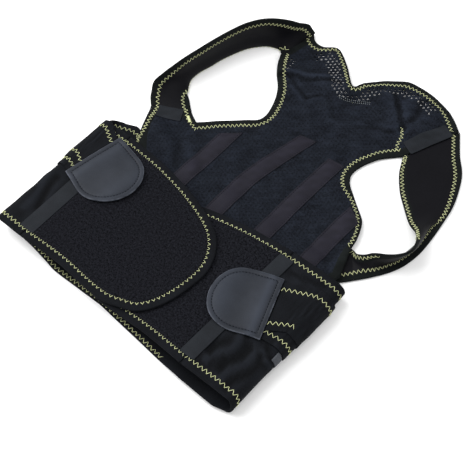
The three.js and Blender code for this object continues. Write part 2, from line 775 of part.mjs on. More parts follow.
function buildStraps() {
  const onFlange = sheetOver(strapNet(STRAPS.right), STRAP_THICK);
  const beside = onFlange.subtract(prism(inset(backOutline, -GAP))).decompose();
  beside.sort((a, b) => b.volume() - a.volume());
  addPiece("shoulder_strap_right", beside[0], "satin");
  addPiece("shoulder_strap_left", sheetOver(strapNet(STRAPS.left), STRAP_THICK), "satin");
  const yokeTape = strapTape(leftArmhole[0], neck[neck.length - 1], 1);
  addPiece("strap_tape_left", laidCloth(yokeTape, backTop, TAPE_THICK, true), "tape");
  const flangeTape = strapTape(rightFlange[0], rightFlange[1], -1);
  addPiece("strap_tape_right", laidCloth(flangeTape, backTop, TAPE_THICK, true), "tape");
}

buildBack();
buildChannels();
buildBelt();
buildWings();
buildTabs();
buildElastics();
buildStraps();

// The origin is below the middle of the whole part.
const whole = new THREE.Box3().setFromObject(group);
const centre = whole.getCenter(new THREE.Vector3());
group.position.set(-centre.x, -centre.y, -whole.min.z);

export default group;
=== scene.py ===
"""Posture corrector, dressed: perforated back panel, folded waist belt, straps, elastics, tabs.

Lengths are in millimetres on the floor plan: X from the spine to the wearer's left, Y from the
belt's upper edge to the neck, Z up. Meshes are turned into metres in the frame at the very end.
"""

import math
import bpy
import numpy as np
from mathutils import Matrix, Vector
from mathutils.geometry import delaunay_2d_cdt


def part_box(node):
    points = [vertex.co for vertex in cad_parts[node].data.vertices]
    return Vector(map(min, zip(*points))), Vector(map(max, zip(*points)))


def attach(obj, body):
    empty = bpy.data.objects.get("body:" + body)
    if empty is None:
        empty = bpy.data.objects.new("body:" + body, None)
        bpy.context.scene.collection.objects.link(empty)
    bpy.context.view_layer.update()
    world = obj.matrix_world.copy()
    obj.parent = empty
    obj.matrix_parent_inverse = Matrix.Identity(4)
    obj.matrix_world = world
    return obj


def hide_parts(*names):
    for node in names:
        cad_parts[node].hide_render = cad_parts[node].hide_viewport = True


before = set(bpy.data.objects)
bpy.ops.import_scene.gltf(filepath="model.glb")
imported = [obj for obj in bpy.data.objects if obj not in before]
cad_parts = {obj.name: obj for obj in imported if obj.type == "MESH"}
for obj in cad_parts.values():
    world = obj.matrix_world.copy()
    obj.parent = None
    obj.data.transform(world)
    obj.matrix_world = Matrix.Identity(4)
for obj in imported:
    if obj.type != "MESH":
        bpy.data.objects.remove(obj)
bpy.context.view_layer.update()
needle_wander = np.random.default_rng(7)

# Waist belt and wings.
BELT_HEIGHT = 162
LOOP_WIDTH = 320
LOOP_SHIFT = -29
BELT_THICK = 3
FOLD_REACH = 9
LOOP_ROOM = 5.4
FOLD_RISE = 8
WING_LENGTH = 170
TAPE_WIDTH = 17.4
TAPE_THICK = 0.8
PILE_BORDER = 9
PILE_THICK = 1.2
GAP = 0.3

# Back panel and its channels.
HALF_BACK = 100
BACK_RISE = 272
BACK_THICK = 3
CHANNEL_WIDTH = 20
CHANNEL_THICK = 1.2
HOLE_RADIUS = 1.15
HOLE_PITCH = 4.9
HOLE_TURN = math.radians(40)

# Straps, elastics and tabs.
STRAP_THICK = 2.6
STRAP_STAND = 45
STRAP_TAPE_WIDTH = 17
STRAP_TUCK = 20
ELASTIC_THICK = 1.2
ELASTIC_WIDTH = 56
ELASTIC_BASE_WIDTH = 62
UNDERLAP = 55
TAB_WIDTH = 70
TAB_DEPTH = 64
TAB_THICK = 1.8

# Sewing.
HEM = 8.4
NARROW_HEM = 3.4
STITCH = 2.7
FINE_STITCH = 2.3
STITCH_SWING = 2.05
WANDER_ACROSS = 0.12
WANDER_ALONG = 0.2
THREAD = 0.22
THREAD_SEAT = 0.05


def smooth(t):
    """Rises softly from 0 to 1 as t does."""
    c = np.clip(t, 0, 1)
    return c * c * (3 - 2 * c)


def line_distance(x, y, start, end):
    """Distance of each place to the line between two points."""
    (ax, ay), (bx, by) = start, end
    dx, dy = bx - ax, by - ay
    t = np.clip(((x - ax) * dx + (y - ay) * dy) / (dx * dx + dy * dy), 0, 1)
    return np.hypot(x - ax - dx * t, y - ay - dy * t)


def bump(x, y, start, end, reach):
    """A soft bump of height 1 along a line, as wide as reach."""
    return np.exp(-((line_distance(x, y, start, end) / reach) ** 2))


def waves(x, y, length, seed, octaves=3):
    """Soft wrinkles: a few sine waves that run in seeded directions, from -1 to 1."""
    source = np.random.default_rng(seed)
    total = np.zeros_like(x, dtype=float)
    for _ in range(octaves * 2):
        angle = source.uniform(0, math.tau)
        size = length * source.uniform(0.6, 1.7)
        phase = source.uniform(0, math.tau)
        run = x * math.cos(angle) + y * math.sin(angle)
        total += np.sin(math.tau * run / size + phase)
    return total / (octaves * 2) ** 0.5 / 1.6


# The two sides of the belt, in the same shares as their solids, and how each one's cloth folds.
SIDES = {
    "right": dict(
        sign=-1,
        seam=(0.118, 0.118),
        swell=(0.95, 1.1),
        tape=0.5,
        tab=(0.078, 0.272, -11),
        slopes=((-0.33, -0.6), (-0.6, -0.6)),
        tab_bulge=4.0,
        # How strongly this tab takes painted shade in its creases and painted highlight on its ridges.
        tab_fold_shading=1.0,
        wrinkles=31,
    ),
    "left": dict(
        sign=1,
        seam=(0.19, 0.214),
        swell=(1.45, 0.75),
        tape=0.06,
        tab=(0.111, 0.404, 199),
        slopes=((0.1, 0.43), (0.66, 0.43)),
        tab_bulge=1.5,
        # How strongly this tab takes painted shade in its creases and painted highlight on its ridges.
        tab_fold_shading=2.0,
        wrinkles=21,
    ),
}


def fold_x(side):
    return LOOP_SHIFT + side["sign"] * LOOP_WIDTH / 2


def arc_x(side):
    return fold_x(side) - side["sign"] * (BELT_THICK / 2 + FOLD_REACH)


def seam_x(side, y):
    upper, lower = side["seam"]
    share = upper + (lower - upper) * -y / BELT_HEIGHT
    return fold_x(side) - side["sign"] * LOOP_WIDTH * share


RIGHT, LEFT = SIDES["right"], SIDES["left"]
ELASTIC_STACK = 2 * (ELASTIC_THICK + GAP) + GAP / 2
LAYER_STACK = BELT_THICK + PILE_THICK + 2 * GAP
LOOP_FLOOR = BELT_THICK + BACK_THICK + CHANNEL_THICK + 2 * GAP


def belt_lift(x):
    inboard = np.minimum(x - fold_x(RIGHT), fold_x(LEFT) - x)
    return ELASTIC_STACK * (1 - smooth((inboard - UNDERLAP - 12) / 24))


def lower_wing(x):
    inboard = fold_x(LEFT) - x
    climb = 1 - smooth((inboard / LOOP_WIDTH - 0.06) / 0.41)
    return LOOP_FLOOR + LOOP_ROOM + FOLD_RISE * climb


def upper_wing(x):
    inboard = x - fold_x(RIGHT)
    climb = 1 - smooth((inboard / LOOP_WIDTH - 0.12) / 0.28)
    return lower_wing(x) + LAYER_STACK + FOLD_RISE * 0.4 * climb


def wing_under(side):
    return lower_wing if side["sign"] > 0 else upper_wing


# How far above a straight line the edges of the belt's back run: shares of the belt's height, at
# shares of its width from the right fold.
EDGE_ALONG = [0, 0.07, 0.14, 0.25, 0.45, 0.62, 0.8, 0.93, 1]
EDGE_LOWER = [0.06, 0.04, 0.03, 0.0, 0.012, -0.015, -0.045, -0.05, -0.01]
EDGE_UPPER = [0.09, 0.15, 0.13, 0.02, 0, 0, 0, 0, 0]


def back_edge(x, shares):
    return np.interp((x - fold_x(RIGHT)) / LOOP_WIDTH, EDGE_ALONG, shares) * BELT_HEIGHT


def catmull(points, steps):
    """A smooth curve through points, with steps places between each two, the last one left out."""
    points = np.asarray(points, float)
    if len(points) < 3:
        return points[:1]
    padded = np.vstack([points[:1], points, points[-1:]])
    t = np.arange(steps)[:, None] / steps
    curve = []
    for k in range(len(points) - 1):
        a, b, c, d = padded[k : k + 4]
        u, w = (c - a) / 2, (d - b) / 2
        curve.append(
            (2 * b - 2 * c + u + w) * t**3 + (-3 * b + 3 * c - 2 * u - w) * t**2 + u * t + b
        )
    return np.vstack(curve)


def through(points, steps=8):
    """A smooth curve through points, with both ends."""
    return np.vstack([catmull(points, steps), points[-1:]])


def outline_of(stretches, steps=8):
    """A closed outline of stretches that are smooth in themselves and meet at corners."""
    return np.vstack([catmull(stretch, steps) for stretch in stretches])


def on_back(points):
    return np.asarray(points, float) * (HALF_BACK, BACK_RISE)


def in_loop(points):
    return np.asarray(points, float) * (LOOP_WIDTH, BELT_HEIGHT) + (LOOP_SHIFT, 0)


NECK = on_back(
    [
        (-1.04, 0.963),
        (-0.94, 0.927),
        (-0.8, 0.925),
        (-0.65, 0.949),
        (-0.42, 0.895),
        (-0.19, 0.82),
        (-0.12, 0.871),
        (0.07, 0.949),
        (0.28, 0.993),
        (0.58, 0.996),
        (0.87, 0.963),
        (1.085, 0.909),
    ]
)
LEFT_ARMHOLE = on_back(
    [
        (0.795, 0.659),
        (0.62, 0.585),
        (0.52, 0.49),
        (0.56, 0.426),
        (0.75, 0.368),
        (0.95, 0.309),
        (1.04, 0.239),
        (1.07, 0.18),
    ]
)
TAIL = in_loop(
    [
        (0.462, 0.08),
        (0.44, -0.08),
        (0.4, -0.3),
        (0.39, -0.94),
        (-0.21, -0.94),
        (-0.235, -0.3),
        (-0.31, -0.1),
        (-0.395, 0.1),
        (-0.43, 0.24),
    ]
)
FLANGE = on_back([(-1.77, 0.21), (-1.34, 0.287)])
RIGHT_ARMHOLE = on_back(
    [
        (-1.22, 0.264),
        (-1.03, 0.335),
        (-0.83, 0.4),
        (-0.7, 0.45),
        (-0.72, 0.52),
        (-0.82, 0.607),
        (-1.0, 0.685),
        (-1.13, 0.772),
    ]
)
BACK_OUTLINE = outline_of(
    [
        NECK,
        [NECK[-1], LEFT_ARMHOLE[0]],
        LEFT_ARMHOLE,
        [LEFT_ARMHOLE[-1], TAIL[0]],
        TAIL[:3],
        [TAIL[2], TAIL[3]],
        [TAIL[3], TAIL[4]],
        [TAIL[4], TAIL[5]],
        TAIL[5:],
        [TAIL[-1], FLANGE[0]],
        FLANGE,
        [FLANGE[1], RIGHT_ARMHOLE[0]],
        RIGHT_ARMHOLE,
        [RIGHT_ARMHOLE[-1], NECK[0]],
    ]
)[::-1]

# Soft ridges of the back panel: from, to, height and half width.
RIDGES = [
    ((-1.02, 0.72), (-0.32, 0.78), 4.5, 13),
    ((-0.85, 0.63), (-0.25, 0.68), 3, 12),
    ((-0.62, 0.93), (-0.3, 0.84), 3, 14),
    ((0.1, 0.86), (0.72, 0.8), 4.5, 14),
    ((0.3, 0.97), (0.8, 0.93), 2.5, 12),
    ((0.5, 0.7), (0.2, 0.6), 2.5, 14),
    ((-0.55, 0.1), (-0.56, 0.45), 1.8, 14),
    ((0.58, 0.12), (0.52, 0.38), 1.8, 13),
]


def back_under(x, y):
    past = y - back_edge(x, EDGE_UPPER) - 12
    on_belt = (BELT_THICK + GAP + belt_lift(x)) * (1 - smooth(past / 22))
    from_flank = line_distance(x, y, TAIL[0], LEFT_ARMHOLE[-1]) - STRAP_TUCK - 12
    on_strap = (STRAP_THICK + 2 * GAP) * (1 - smooth(from_flank / 18))
    ridges = sum(
        height * bump(x, y, on_back(start), on_back(end), reach)
        for start, end, height, reach in RIDGES
    )
    return np.maximum(on_belt, on_strap) + ridges * smooth(past / 22)


def back_top(x, y):
    return back_under(x, y) + BACK_THICK


# Placing: the frame's corner of the left wing says where the floor plan lies in the frame.
wing_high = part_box("wing_left")[1]
SHIFT = np.array(
    [
        wing_high[0] * 1000 - (seam_x(LEFT, 0) - GAP / 2),
        wing_high[1] * 1000,
        0,
    ]
)


# No place of a mesh lies lower than this.
LOWEST = 0.02


def add_mesh(name, points, faces, materials, lay=None, depth=None, zone=None, fold=None):
    """Makes a smooth mesh object in the frame from places on the floor plan."""
    mesh = bpy.data.meshes.new(name)
    points = np.column_stack([points[:, :2], np.maximum(points[:, 2], LOWEST)])
    mesh.from_pydata(((points + SHIFT) / 1000).tolist(), [], faces)
    mesh.validate()
    mesh.shade_smooth()
    for material in materials:
        mesh.materials.append(material)
    if lay is not None:
        layer = mesh.attributes.new("lay", "FLOAT_VECTOR", "POINT")
        layer.data.foreach_set("vector", np.asarray(lay, np.float32).ravel())
    if depth is not None:
        layer = mesh.attributes.new("depth", "FLOAT", "POINT")
        layer.data.foreach_set("value", np.asarray(depth, np.float32))
    # fold: painted shade in creases, towards -1, and painted highlight on ridges, towards 1, mixed
    # into the colour by the finish.
    if fold is not None:
        layer = mesh.attributes.new("fold", "FLOAT", "POINT")
        layer.data.foreach_set("value", np.clip(fold, -1, 1).astype(np.float32))
    if zone is not None:
        mesh.polygons.foreach_set("material_index", np.asarray(zone, np.int32))
    piece = bpy.data.objects.new(name, mesh)
    bpy.context.scene.collection.objects.link(piece)
    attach(piece, "root")
    return piece


def run_length(points):
    return float(np.linalg.norm(np.diff(points, axis=0), axis=1).sum())


def dress(piece, node, flat, area=None):
    """Hides the solid that a sheet takes the place of; the sheet itself, its flat size in millimetres
    and its area are not used.
    """
    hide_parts(node)


# Painted shade in creases and painted highlight on ridges: a fold is looked at over this reach, and
# the painting is full at this height.
FOLD_SHADING_REACH = 5.0
FOLD_SHADING_HEIGHT = 0.7


def folded(lift, x, y):
    """How far each place stands on a ridge, towards 1, or in a crease, towards -1: the share of
    painted highlight or painted shade that it takes.
    """
    around = 0
    for dx, dy in ((1, 0), (-1, 0), (0, 1), (0, -1)):
        around = around + lift(x + dx * FOLD_SHADING_REACH, y + dy * FOLD_SHADING_REACH) / 4
    return (lift(x, y) - around) / FOLD_SHADING_HEIGHT


def round_edge(depth, radius):
    """Half thickness, as a share, at a depth in from a rounded edge."""
    c = np.clip(depth / radius, 0, 1)
    return np.sqrt(1 - (1 - c) ** 2)


def both_faces(top, below, rim, faces):
    """Closes a sheet: its upper face, and its under face turned over, joined along the rim."""
    inner = np.flatnonzero(~rim)
    other = np.arange(len(top))
    other[inner] = len(top) + np.arange(len(inner))
    return np.vstack([top, below[inner]]), np.vstack([faces, other[faces][:, ::-1]]), inner


# Cloth that lies flat on a height.


def divided(outline, step):
    points = []
    for a, b in zip(outline, np.roll(outline, -1, axis=0)):
        count = max(1, round(float(np.linalg.norm(b - a)) / step))
        points += [a + (b - a) * k / count for k in range(count)]
    return np.array(points)


def inset(points, distance, closed=True):
    """Moves a line to its left by a distance."""
    if closed:
        heading = np.roll(points, -1, axis=0) - np.roll(points, 1, axis=0)
    else:
        heading = np.gradient(points, axis=0)
    heading /= np.maximum(np.linalg.norm(heading, axis=1, keepdims=True), 1e-9)
    return points + distance * np.column_stack([-heading[:, 1], heading[:, 0]])


def edge_depth(points, outline):
    """Distance of each place to an outline, and whether it is inside."""
    a, b = outline, np.roll(outline, -1, axis=0)
    d = b - a
    length = (d * d).sum(1)
    depth = np.empty(len(points))
    inside = np.empty(len(points), bool)
    for start in range(0, len(points), 1500):
        p = points[start : start + 1500]
        rel = p[:, None, :] - a[None]
        t = np.clip((rel * d).sum(2) / length, 0, 1)
        gap = rel - t[..., None] * d
        depth[start : start + 1500] = np.sqrt((gap * gap).sum(2).min(1))
        x, y = p[:, :1], p[:, 1:]
        crosses = (a[:, 1] > y) != (b[:, 1] > y)
        with np.errstate(divide="ignore", invalid="ignore"):
            at = a[:, 0] + (y - a[:, 1]) / (b[:, 1] - a[:, 1]) * d[:, 0]
        inside[start : start + 1500] = (crosses & (x < at)).sum(1) % 2 == 1
    return depth, inside


RINGS = (0.25, 0.7, 1.5, 3.2, 5.4, 7.4, 8.2, 8.8, 9.8, 12)
HOLE_SIDES = 8
HOLE_RIM = 0.4
RING_ROOM = 0.5
FIELD_ROOM = 0.8
ON_EDGE = 1e-3
FAR = 99.0


def to_hole(points, holes):
    """Distance of each place to the middle of the nearest hole."""
    if not len(holes):
        return np.full(len(points), FAR)
    return np.linalg.norm(points[:, None] - holes[None], axis=2).min(1)


def clear_of(points, holes, room):
    return points[to_hole(points, holes) > HOLE_RADIUS + HOLE_RIM + room]


class Cloth:
    """A flat-cut cloth: its outline, the height it lies on and the relief of its upper face."""

    def __init__(self, outline, under, thick, bend=None, relief=None, fold_shading_share=1.0):
        self.outline = np.asarray(outline, float)
        self.under = under
        self.thick = thick
        self.bend = bend
        self.relief = relief
        self.fold_shading_share = fold_shading_share

    def heights(self, points):
        x, y = points[:, 0], points[:, 1]
        depth, _ = edge_depth(points, self.outline)
        low = self.under(x, y)
        if self.bend:
            low = low + self.bend(x, y)
        high = low + self.thick
        if self.relief:
            high = high + self.relief(x, y, depth)
        return low, high, depth

    def places(self, grid, edge_step, rings, holes):
        """Places on the outline, on rings along it, and on a grid inside, clear of the holes."""
        edge = divided(self.outline, edge_step)
        found = [edge]
        for ring in rings:
            moved = inset(edge, ring)
            depth, inside = edge_depth(moved, self.outline)
            found.append(clear_of(moved[inside & (depth > ring * 0.97)], holes, RING_ROOM))
        low, high = self.outline.min(0), self.outline.max(0)
        rows = []
        for n, y in enumerate(np.arange(low[1], high[1], grid * 0.866)):
            x = np.arange(low[0] + (n % 2) * grid / 2, high[0], grid)
            rows.append(np.column_stack([x, np.full_like(x, y)]))
        field = np.vstack(rows)
        depth, inside = edge_depth(field, self.outline)
        field = field[inside & (depth > max(rings) + grid * 0.6)]
        return [*found, clear_of(field, holes, FIELD_ROOM)]

    def cut(self, places, holes):
        """Triangles over the places, cut to the outline and the holes, with the holes' depths."""
        count = len(places[0])
        edges = [(k, (k + 1) % count) for k in range(count)]
        points = np.vstack(places)
        turns = np.arange(HOLE_SIDES) / HOLE_SIDES * math.tau
        circle = np.column_stack([np.cos(turns), np.sin(turns)])
        loops = []
        for centre in holes:
            first = len(points) + len(loops) * HOLE_SIDES
            loops.append(centre + circle * HOLE_RADIUS)
            loops.append(centre + circle * (HOLE_RADIUS + HOLE_RIM))
            edges += [(first + k, first + (k + 1) % HOLE_SIDES) for k in range(HOLE_SIDES)]
        points = np.vstack([points, *loops])
        flat = delaunay_2d_cdt([Vector(p) for p in points.tolist()], edges, [], 0, 1e-6)
        spots = np.array([(v.x, v.y) for v in flat[0]])
        triangles = np.array([f for f in flat[2] if len(f) == 3])
        middles = spots[triangles].mean(1)
        _, inside = edge_depth(middles, self.outline)
        inside &= to_hole(middles, holes) > HOLE_RADIUS * 0.93
        triangles = triangles[inside]
        hole_depth = to_hole(spots, holes) - HOLE_RADIUS
        on_rim = (edge_depth(spots, self.outline)[0] < ON_EDGE) | (hole_depth < ON_EDGE)
        triangles = triangles[~on_rim[triangles].all(axis=1)]
        used = np.unique(triangles)
        renumber = np.full(len(spots), -1)
        renumber[used] = np.arange(len(used))
        spots, triangles = spots[used], renumber[triangles]
        a, b, c = (spots[triangles[:, k]] for k in range(3))
        turned = np.cross(b - a, c - a) < 0
        triangles[turned] = triangles[turned][:, ::-1]
        self.area = 0.5 * np.abs(np.cross(b - a, c - a)).sum()
        return spots, triangles, hole_depth[used]

    def build(self, name, materials, grid=3.0, edge_step=2.0, rings=RINGS, holes=(), zone=None):
        """The closed mesh. Zone says which of the materials each face takes."""
        holes = np.asarray(holes, float).reshape(-1, 2)
        places = self.places(grid, edge_step, rings, holes)
        spots, triangles, hole_depth = self.cut(places, holes)
        low, high, depth = self.heights(spots)
        share = np.minimum(round_edge(depth, self.thick / 2), round_edge(hole_depth, HOLE_RIM))
        rim = (depth < ON_EDGE) | (hole_depth < ON_EDGE)
        share[rim] = 0
        middle = (low + high) / 2
        half = (high - low) / 2 * share
        top = np.column_stack([spots, middle + half])
        below = np.column_stack([spots, middle - half])
        points, faces, inner = both_faces(top, below, rim, triangles)
        lay = np.column_stack([points[:, :2], np.zeros(len(points))])
        depths = np.concatenate([depth, depth[inner]])
        zones = None
        if zone:
            centres = spots[triangles].mean(1)
            marks = zone(centres[:, 0], centres[:, 1], depth[triangles].mean(1))
            zones = np.concatenate([marks, marks])
        # Painted shade in creases and painted highlight on ridges, as strong as the cloth's share.
        fold = None
        if self.bend:
            fold = folded(self.bend, points[:, 0], points[:, 1]) * self.fold_shading_share
        return add_mesh(name, points, faces.tolist(), materials, lay, depths, zones, fold)


# Cloth bands over a net of places.

EDGE_COLUMNS = np.array([0, 0.25, 0.8, 1.6, NARROW_HEM, 5.6, 7.4, HEM, 9.4, 11.5])
NARROW_COLUMN = 4
HEM_COLUMN = 7


def band(name, points, normals, thick, materials, lift=None, hem=0.0, fold=None):
    """A closed sheet over a net, raised by lift. The hem takes the second material."""
    stations, rows = points.shape[:2]
    run = np.linalg.norm(np.diff(points, axis=0), axis=2)
    along = np.vstack([np.zeros(rows), np.cumsum(run, axis=0)])
    wide = np.linalg.norm(np.diff(points, axis=1), axis=2)
    sideways = np.hstack([np.zeros((stations, 1)), np.cumsum(wide, axis=1)])
    beside = np.minimum(sideways, sideways[:, -1:] - sideways)
    depth = np.minimum(beside, np.minimum(along, along[-1:] - along))
    half = thick / 2 * round_edge(depth, thick / 2)
    if lift is not None:
        points = points + normals * lift[..., None]
    rim = np.zeros((stations, rows), bool)
    rim[:, [0, -1]] = True
    rim[[0, -1], :] = True
    half[rim] = 0
    top = (points + normals * half[..., None]).reshape(-1, 3)
    below = (points - normals * half[..., None]).reshape(-1, 3)
    at = np.arange(stations * rows).reshape(stations, rows)
    quads = np.stack([at[:-1, :-1], at[1:, :-1], at[1:, 1:], at[:-1, 1:]], -1).reshape(-1, 4)
    mesh_points, faces, inner = both_faces(top, below, rim.ravel(), quads)
    lay = np.stack([along, sideways, np.zeros_like(along)], -1).reshape(-1, 3)
    lay = np.vstack([lay, lay[inner]])
    depths = np.concatenate([depth.ravel(), depth.ravel()[inner]])
    marks = (beside.ravel()[quads].mean(1) < hem).astype(int)
    zones = np.concatenate([marks, marks])
    # fold carries painted shade in creases and painted highlight on ridges.
    if fold is not None:
        fold = np.concatenate([fold.ravel(), fold.ravel()[inner]])
    return add_mesh(name, mesh_points, faces.tolist(), materials, lay, depths, zones, fold)


def net_normals(points):
    heading = np.gradient(points, axis=0)
    sideways = np.gradient(points, axis=1)
    normals = np.cross(heading, sideways)
    return normals / np.maximum(np.linalg.norm(normals, axis=2, keepdims=True), 1e-9)


def cross_steps(widths, inner=12):
    """Distances from the low edge across a band whose width changes: one row per station."""
    widths = np.asarray(widths, float)[:, None]
    columns = EDGE_COLUMNS[None] * np.minimum(1, widths / (2.3 * EDGE_COLUMNS[-1]))
    t = np.linspace(0, 1, inner + 2)[None, 1:-1]
    middle = columns[:, -1:] + (widths - 2 * columns[:, -1:]) * t
    return np.hstack([columns, middle, (widths - columns)[:, ::-1]])


# Thread.

THREAD_PARTS = ((0.0, 0.0), (0.04, 0.8), (0.25, 1.0), (0.75, 1.0), (0.96, 0.8), (1.0, 0.0))
THREAD_SIDES = 5


def stitches(starts, ends, normals, radius, arch=0.4, sink=0.1):
    """One arched length of thread from each start to its end, as points and faces."""
    heading = ends - starts
    length = np.linalg.norm(heading, axis=1, keepdims=True)
    keep = length[:, 0] > 0.2
    starts, ends, normals = starts[keep], ends[keep], normals[keep]
    heading = (heading / np.maximum(length, 1e-9))[keep]
    aside = np.cross(normals, heading)
    aside /= np.maximum(np.linalg.norm(aside, axis=1, keepdims=True), 1e-9)
    count = len(starts)
    turns = np.arange(THREAD_SIDES) / THREAD_SIDES * math.tau
    rings = []
    for share, size in THREAD_PARTS:
        middle = starts + (ends - starts) * share
        rise = -sink + (arch + sink) * math.sin(math.pi * share) ** 0.45
        middle = middle + normals * rise
        if size == 0:
            rings.append(middle[:, None])
            continue
        circle = (
            aside[:, None] * np.cos(turns)[None, :, None]
            + normals[:, None] * np.sin(turns)[None, :, None]
        )
        rings.append(middle[:, None] + circle * radius * size)
    points = np.concatenate(rings, axis=1)
    faces = []
    per = points.shape[1]
    n = THREAD_SIDES
    for k in range(n):
        faces.append((0, 1 + (k + 1) % n, 1 + k, -1))
    for ring in range(len(THREAD_PARTS) - 3):
        low, high = 1 + ring * n, 1 + (ring + 1) * n
        for k in range(n):
            faces.append((low + k, low + (k + 1) % n, high + (k + 1) % n, high + k))
    low = 1 + (len(THREAD_PARTS) - 3) * n
    for k in range(n):
        faces.append((low + k, low + (k + 1) % n, per - 1, -1))
    shape = np.array(faces)
    every = shape[None] + (np.arange(count) * per)[:, None, None]
    every = np.where(shape[None] < 0, -1, every).reshape(-1, 4)
    return points.reshape(-1, 3), [[i for i in face if i >= 0] for face in every.tolist()]


def walked(points, normals, step, start=0.0):
    """Places at even steps along a line in space, with their normals and headings."""
    run = np.concatenate([[0], np.cumsum(np.linalg.norm(np.diff(points, axis=0), axis=1))])
    at = np.arange(start, run[-1], step)
    spots = np.column_stack([np.interp(at, run, points[:, k]) for k in range(3)])
    normal = np.column_stack([np.interp(at, run, normals[:, k]) for k in range(3)])
    normal /= np.linalg.norm(normal, axis=1, keepdims=True)
    heading = np.gradient(spots, axis=0)
    heading /= np.maximum(np.linalg.norm(heading, axis=1, keepdims=True), 1e-9)
    return spots, normal, heading


def zigzag(points, normals, swing=STITCH_SWING, step=STITCH, radius=THREAD):
    """Zigzag stitches along a line on a cloth's face."""
    spots, normal, heading = walked(points, normals, step)
    aside = np.cross(normal, heading)
    turn = np.where(np.arange(len(spots)) % 2, 1.0, -1.0)[:, None]
    across = turn * swing + needle_wander.normal(0, WANDER_ACROSS, turn.shape)
    onward = needle_wander.normal(0, WANDER_ALONG, turn.shape)
    needles = spots + aside * across + heading * onward
    return stitches(needles[:-1], needles[1:], normal[:-1], radius)


def lock_stitches(points, normals, length=2.4, gap=0.8, radius=0.28):
    """A straight row of stitches along a line on a cloth's face."""
    spots, normal, heading = walked(points, normals, length + gap)
    return stitches(spots, spots + heading * length, normal, radius, arch=0.12, sink=0.3)


def bartack(centre, normal, heading, length=9, width=3.4, passes=16, radius=0.32):
    """A dense bar of thread."""
    aside = np.cross(normal, heading)
    t = np.linspace(-0.5, 0.5, passes)[:, None]
    spots = centre + heading * length * t
    turn = np.where(np.arange(passes) % 2, 0.5, -0.5)[:, None]
    needles = spots + aside * turn * width
    normals = np.repeat(normal[None], passes - 1, axis=0)
    return stitches(needles[:-1], needles[1:], normals, radius, arch=0.45, sink=0.3)


def sew(name, rows, material):
    """Joins rows of stitches in one piece."""
    points, faces, first = [], [], 0
    for row_points, row_faces in rows:
        points.append(row_points)
        faces += [[i + first for i in face] for face in row_faces]
        first += len(row_points)
    piece = add_mesh(name, np.vstack(points), faces, [material])
    return piece


def face_line(cloth, line, under=False):
    """A line laid on a cloth's upper or under face, in steps of about 1 mm, with its normals."""
    fine = []
    for a, b in zip(line[:-1], line[1:]):
        count = max(1, round(float(np.linalg.norm(b - a))))
        fine += [a + (b - a) * k / count for k in range(count)]
    fine = np.array(fine + [line[-1]])
    face, side = (0, -1) if under else (1, 1)
    z = cloth.heights(fine)[face]
    east = cloth.heights(fine + (1, 0))[face]
    north = cloth.heights(fine + (0, 1))[face]
    normals = np.column_stack([z - east, z - north, np.ones(len(fine))]) * side
    normals /= np.linalg.norm(normals, axis=1, keepdims=True)
    return np.column_stack([fine, z]), normals


# Finishes.


def linear(*rgb):
    channels = []
    for value in rgb:
        c = value / 255
        channels.append(c / 12.92 if c <= 0.04045 else ((c + 0.055) / 1.055) ** 2.4)
    return (*channels, 1.0)


class Nodes:
    """Short words for making and joining the nodes of one tree."""

    def __init__(self, tree):
        self.tree = tree

    def put(self, socket, value):
        if hasattr(value, "is_linked") or hasattr(value, "links"):
            self.tree.links.new(value, socket)
        else:
            socket.default_value = value

    def math(self, operation, a, b=0.0, c=0.0):
        node = self.tree.nodes.new("ShaderNodeMath")
        node.operation = operation
        for socket, value in zip(node.inputs, (a, b, c)):
            self.put(socket, value)
        return node.outputs[0]

    def blend(self, factor, a, b):
        node = self.tree.nodes.new("ShaderNodeMix")
        node.data_type = "RGBA"
        self.put(node.inputs["Factor"], factor)
        for socket, value in zip([s for s in node.inputs if s.type == "RGBA"], (a, b)):
            self.put(socket, value)
        return next(s for s in node.outputs if s.type == "RGBA")

    def span(self, value, low, high, to_low=0.0, to_high=1.0):
        node = self.tree.nodes.new("ShaderNodeMapRange")
        for socket, v in zip(node.inputs, (value, low, high, to_low, to_high)):
            self.put(socket, v)
        return node.outputs[0]

    def noise(self, vector, scale, detail=3.0, roughness=0.6):
        node = self.tree.nodes.new("ShaderNodeTexNoise")
        self.put(node.inputs["Vector"], vector)
        self.put(node.inputs["Scale"], scale)
        self.put(node.inputs["Detail"], detail)
        self.put(node.inputs["Roughness"], roughness)
        return node.outputs["Fac"]


def make_group(name, inputs, outputs):
    """An empty node group with named sockets: (name, kind, default)."""
    tree = bpy.data.node_groups.new(name, "ShaderNodeTree")
    for socket, kind, default in inputs:
        made = tree.interface.new_socket(socket, in_out="INPUT", socket_type=kind)
        if default is not None:
            made.default_value = default
    for socket, kind in outputs:
        tree.interface.new_socket(socket, in_out="OUTPUT", socket_type=kind)
    nodes = Nodes(tree)
    source = tree.nodes.new("NodeGroupInput").outputs
    target = tree.nodes.new("NodeGroupOutput").inputs
    return tree, nodes, source, target


FLOAT, VECTOR = "NodeSocketFloat", "NodeSocketVector"


def grain_group():
    """Uneven dye and the surface grain of a cloth. Place is in millimetres."""
    tree, nodes, source, target = make_group(
        "Cloth grain",
        [("Place", VECTOR, None), ("Grain", FLOAT, 1.0), ("Blotch", FLOAT, 30.0)],
        [("Shade", FLOAT), ("Height", FLOAT)],
    )
    place = source["Place"]
    fine = nodes.noise(place, nodes.math("DIVIDE", 1.0, source["Grain"]), 2.0, 0.7)
    wide = nodes.noise(place, nodes.math("DIVIDE", 1.0, source["Blotch"]), 3.0, 0.6)
    mixed = nodes.math("ADD", nodes.math("MULTIPLY", fine, 0.6), nodes.math("MULTIPLY", wide, 0.4))
    nodes.put(target["Shade"], nodes.span(mixed, 0.3, 0.7))
    nodes.put(target["Height"], fine)
    return tree


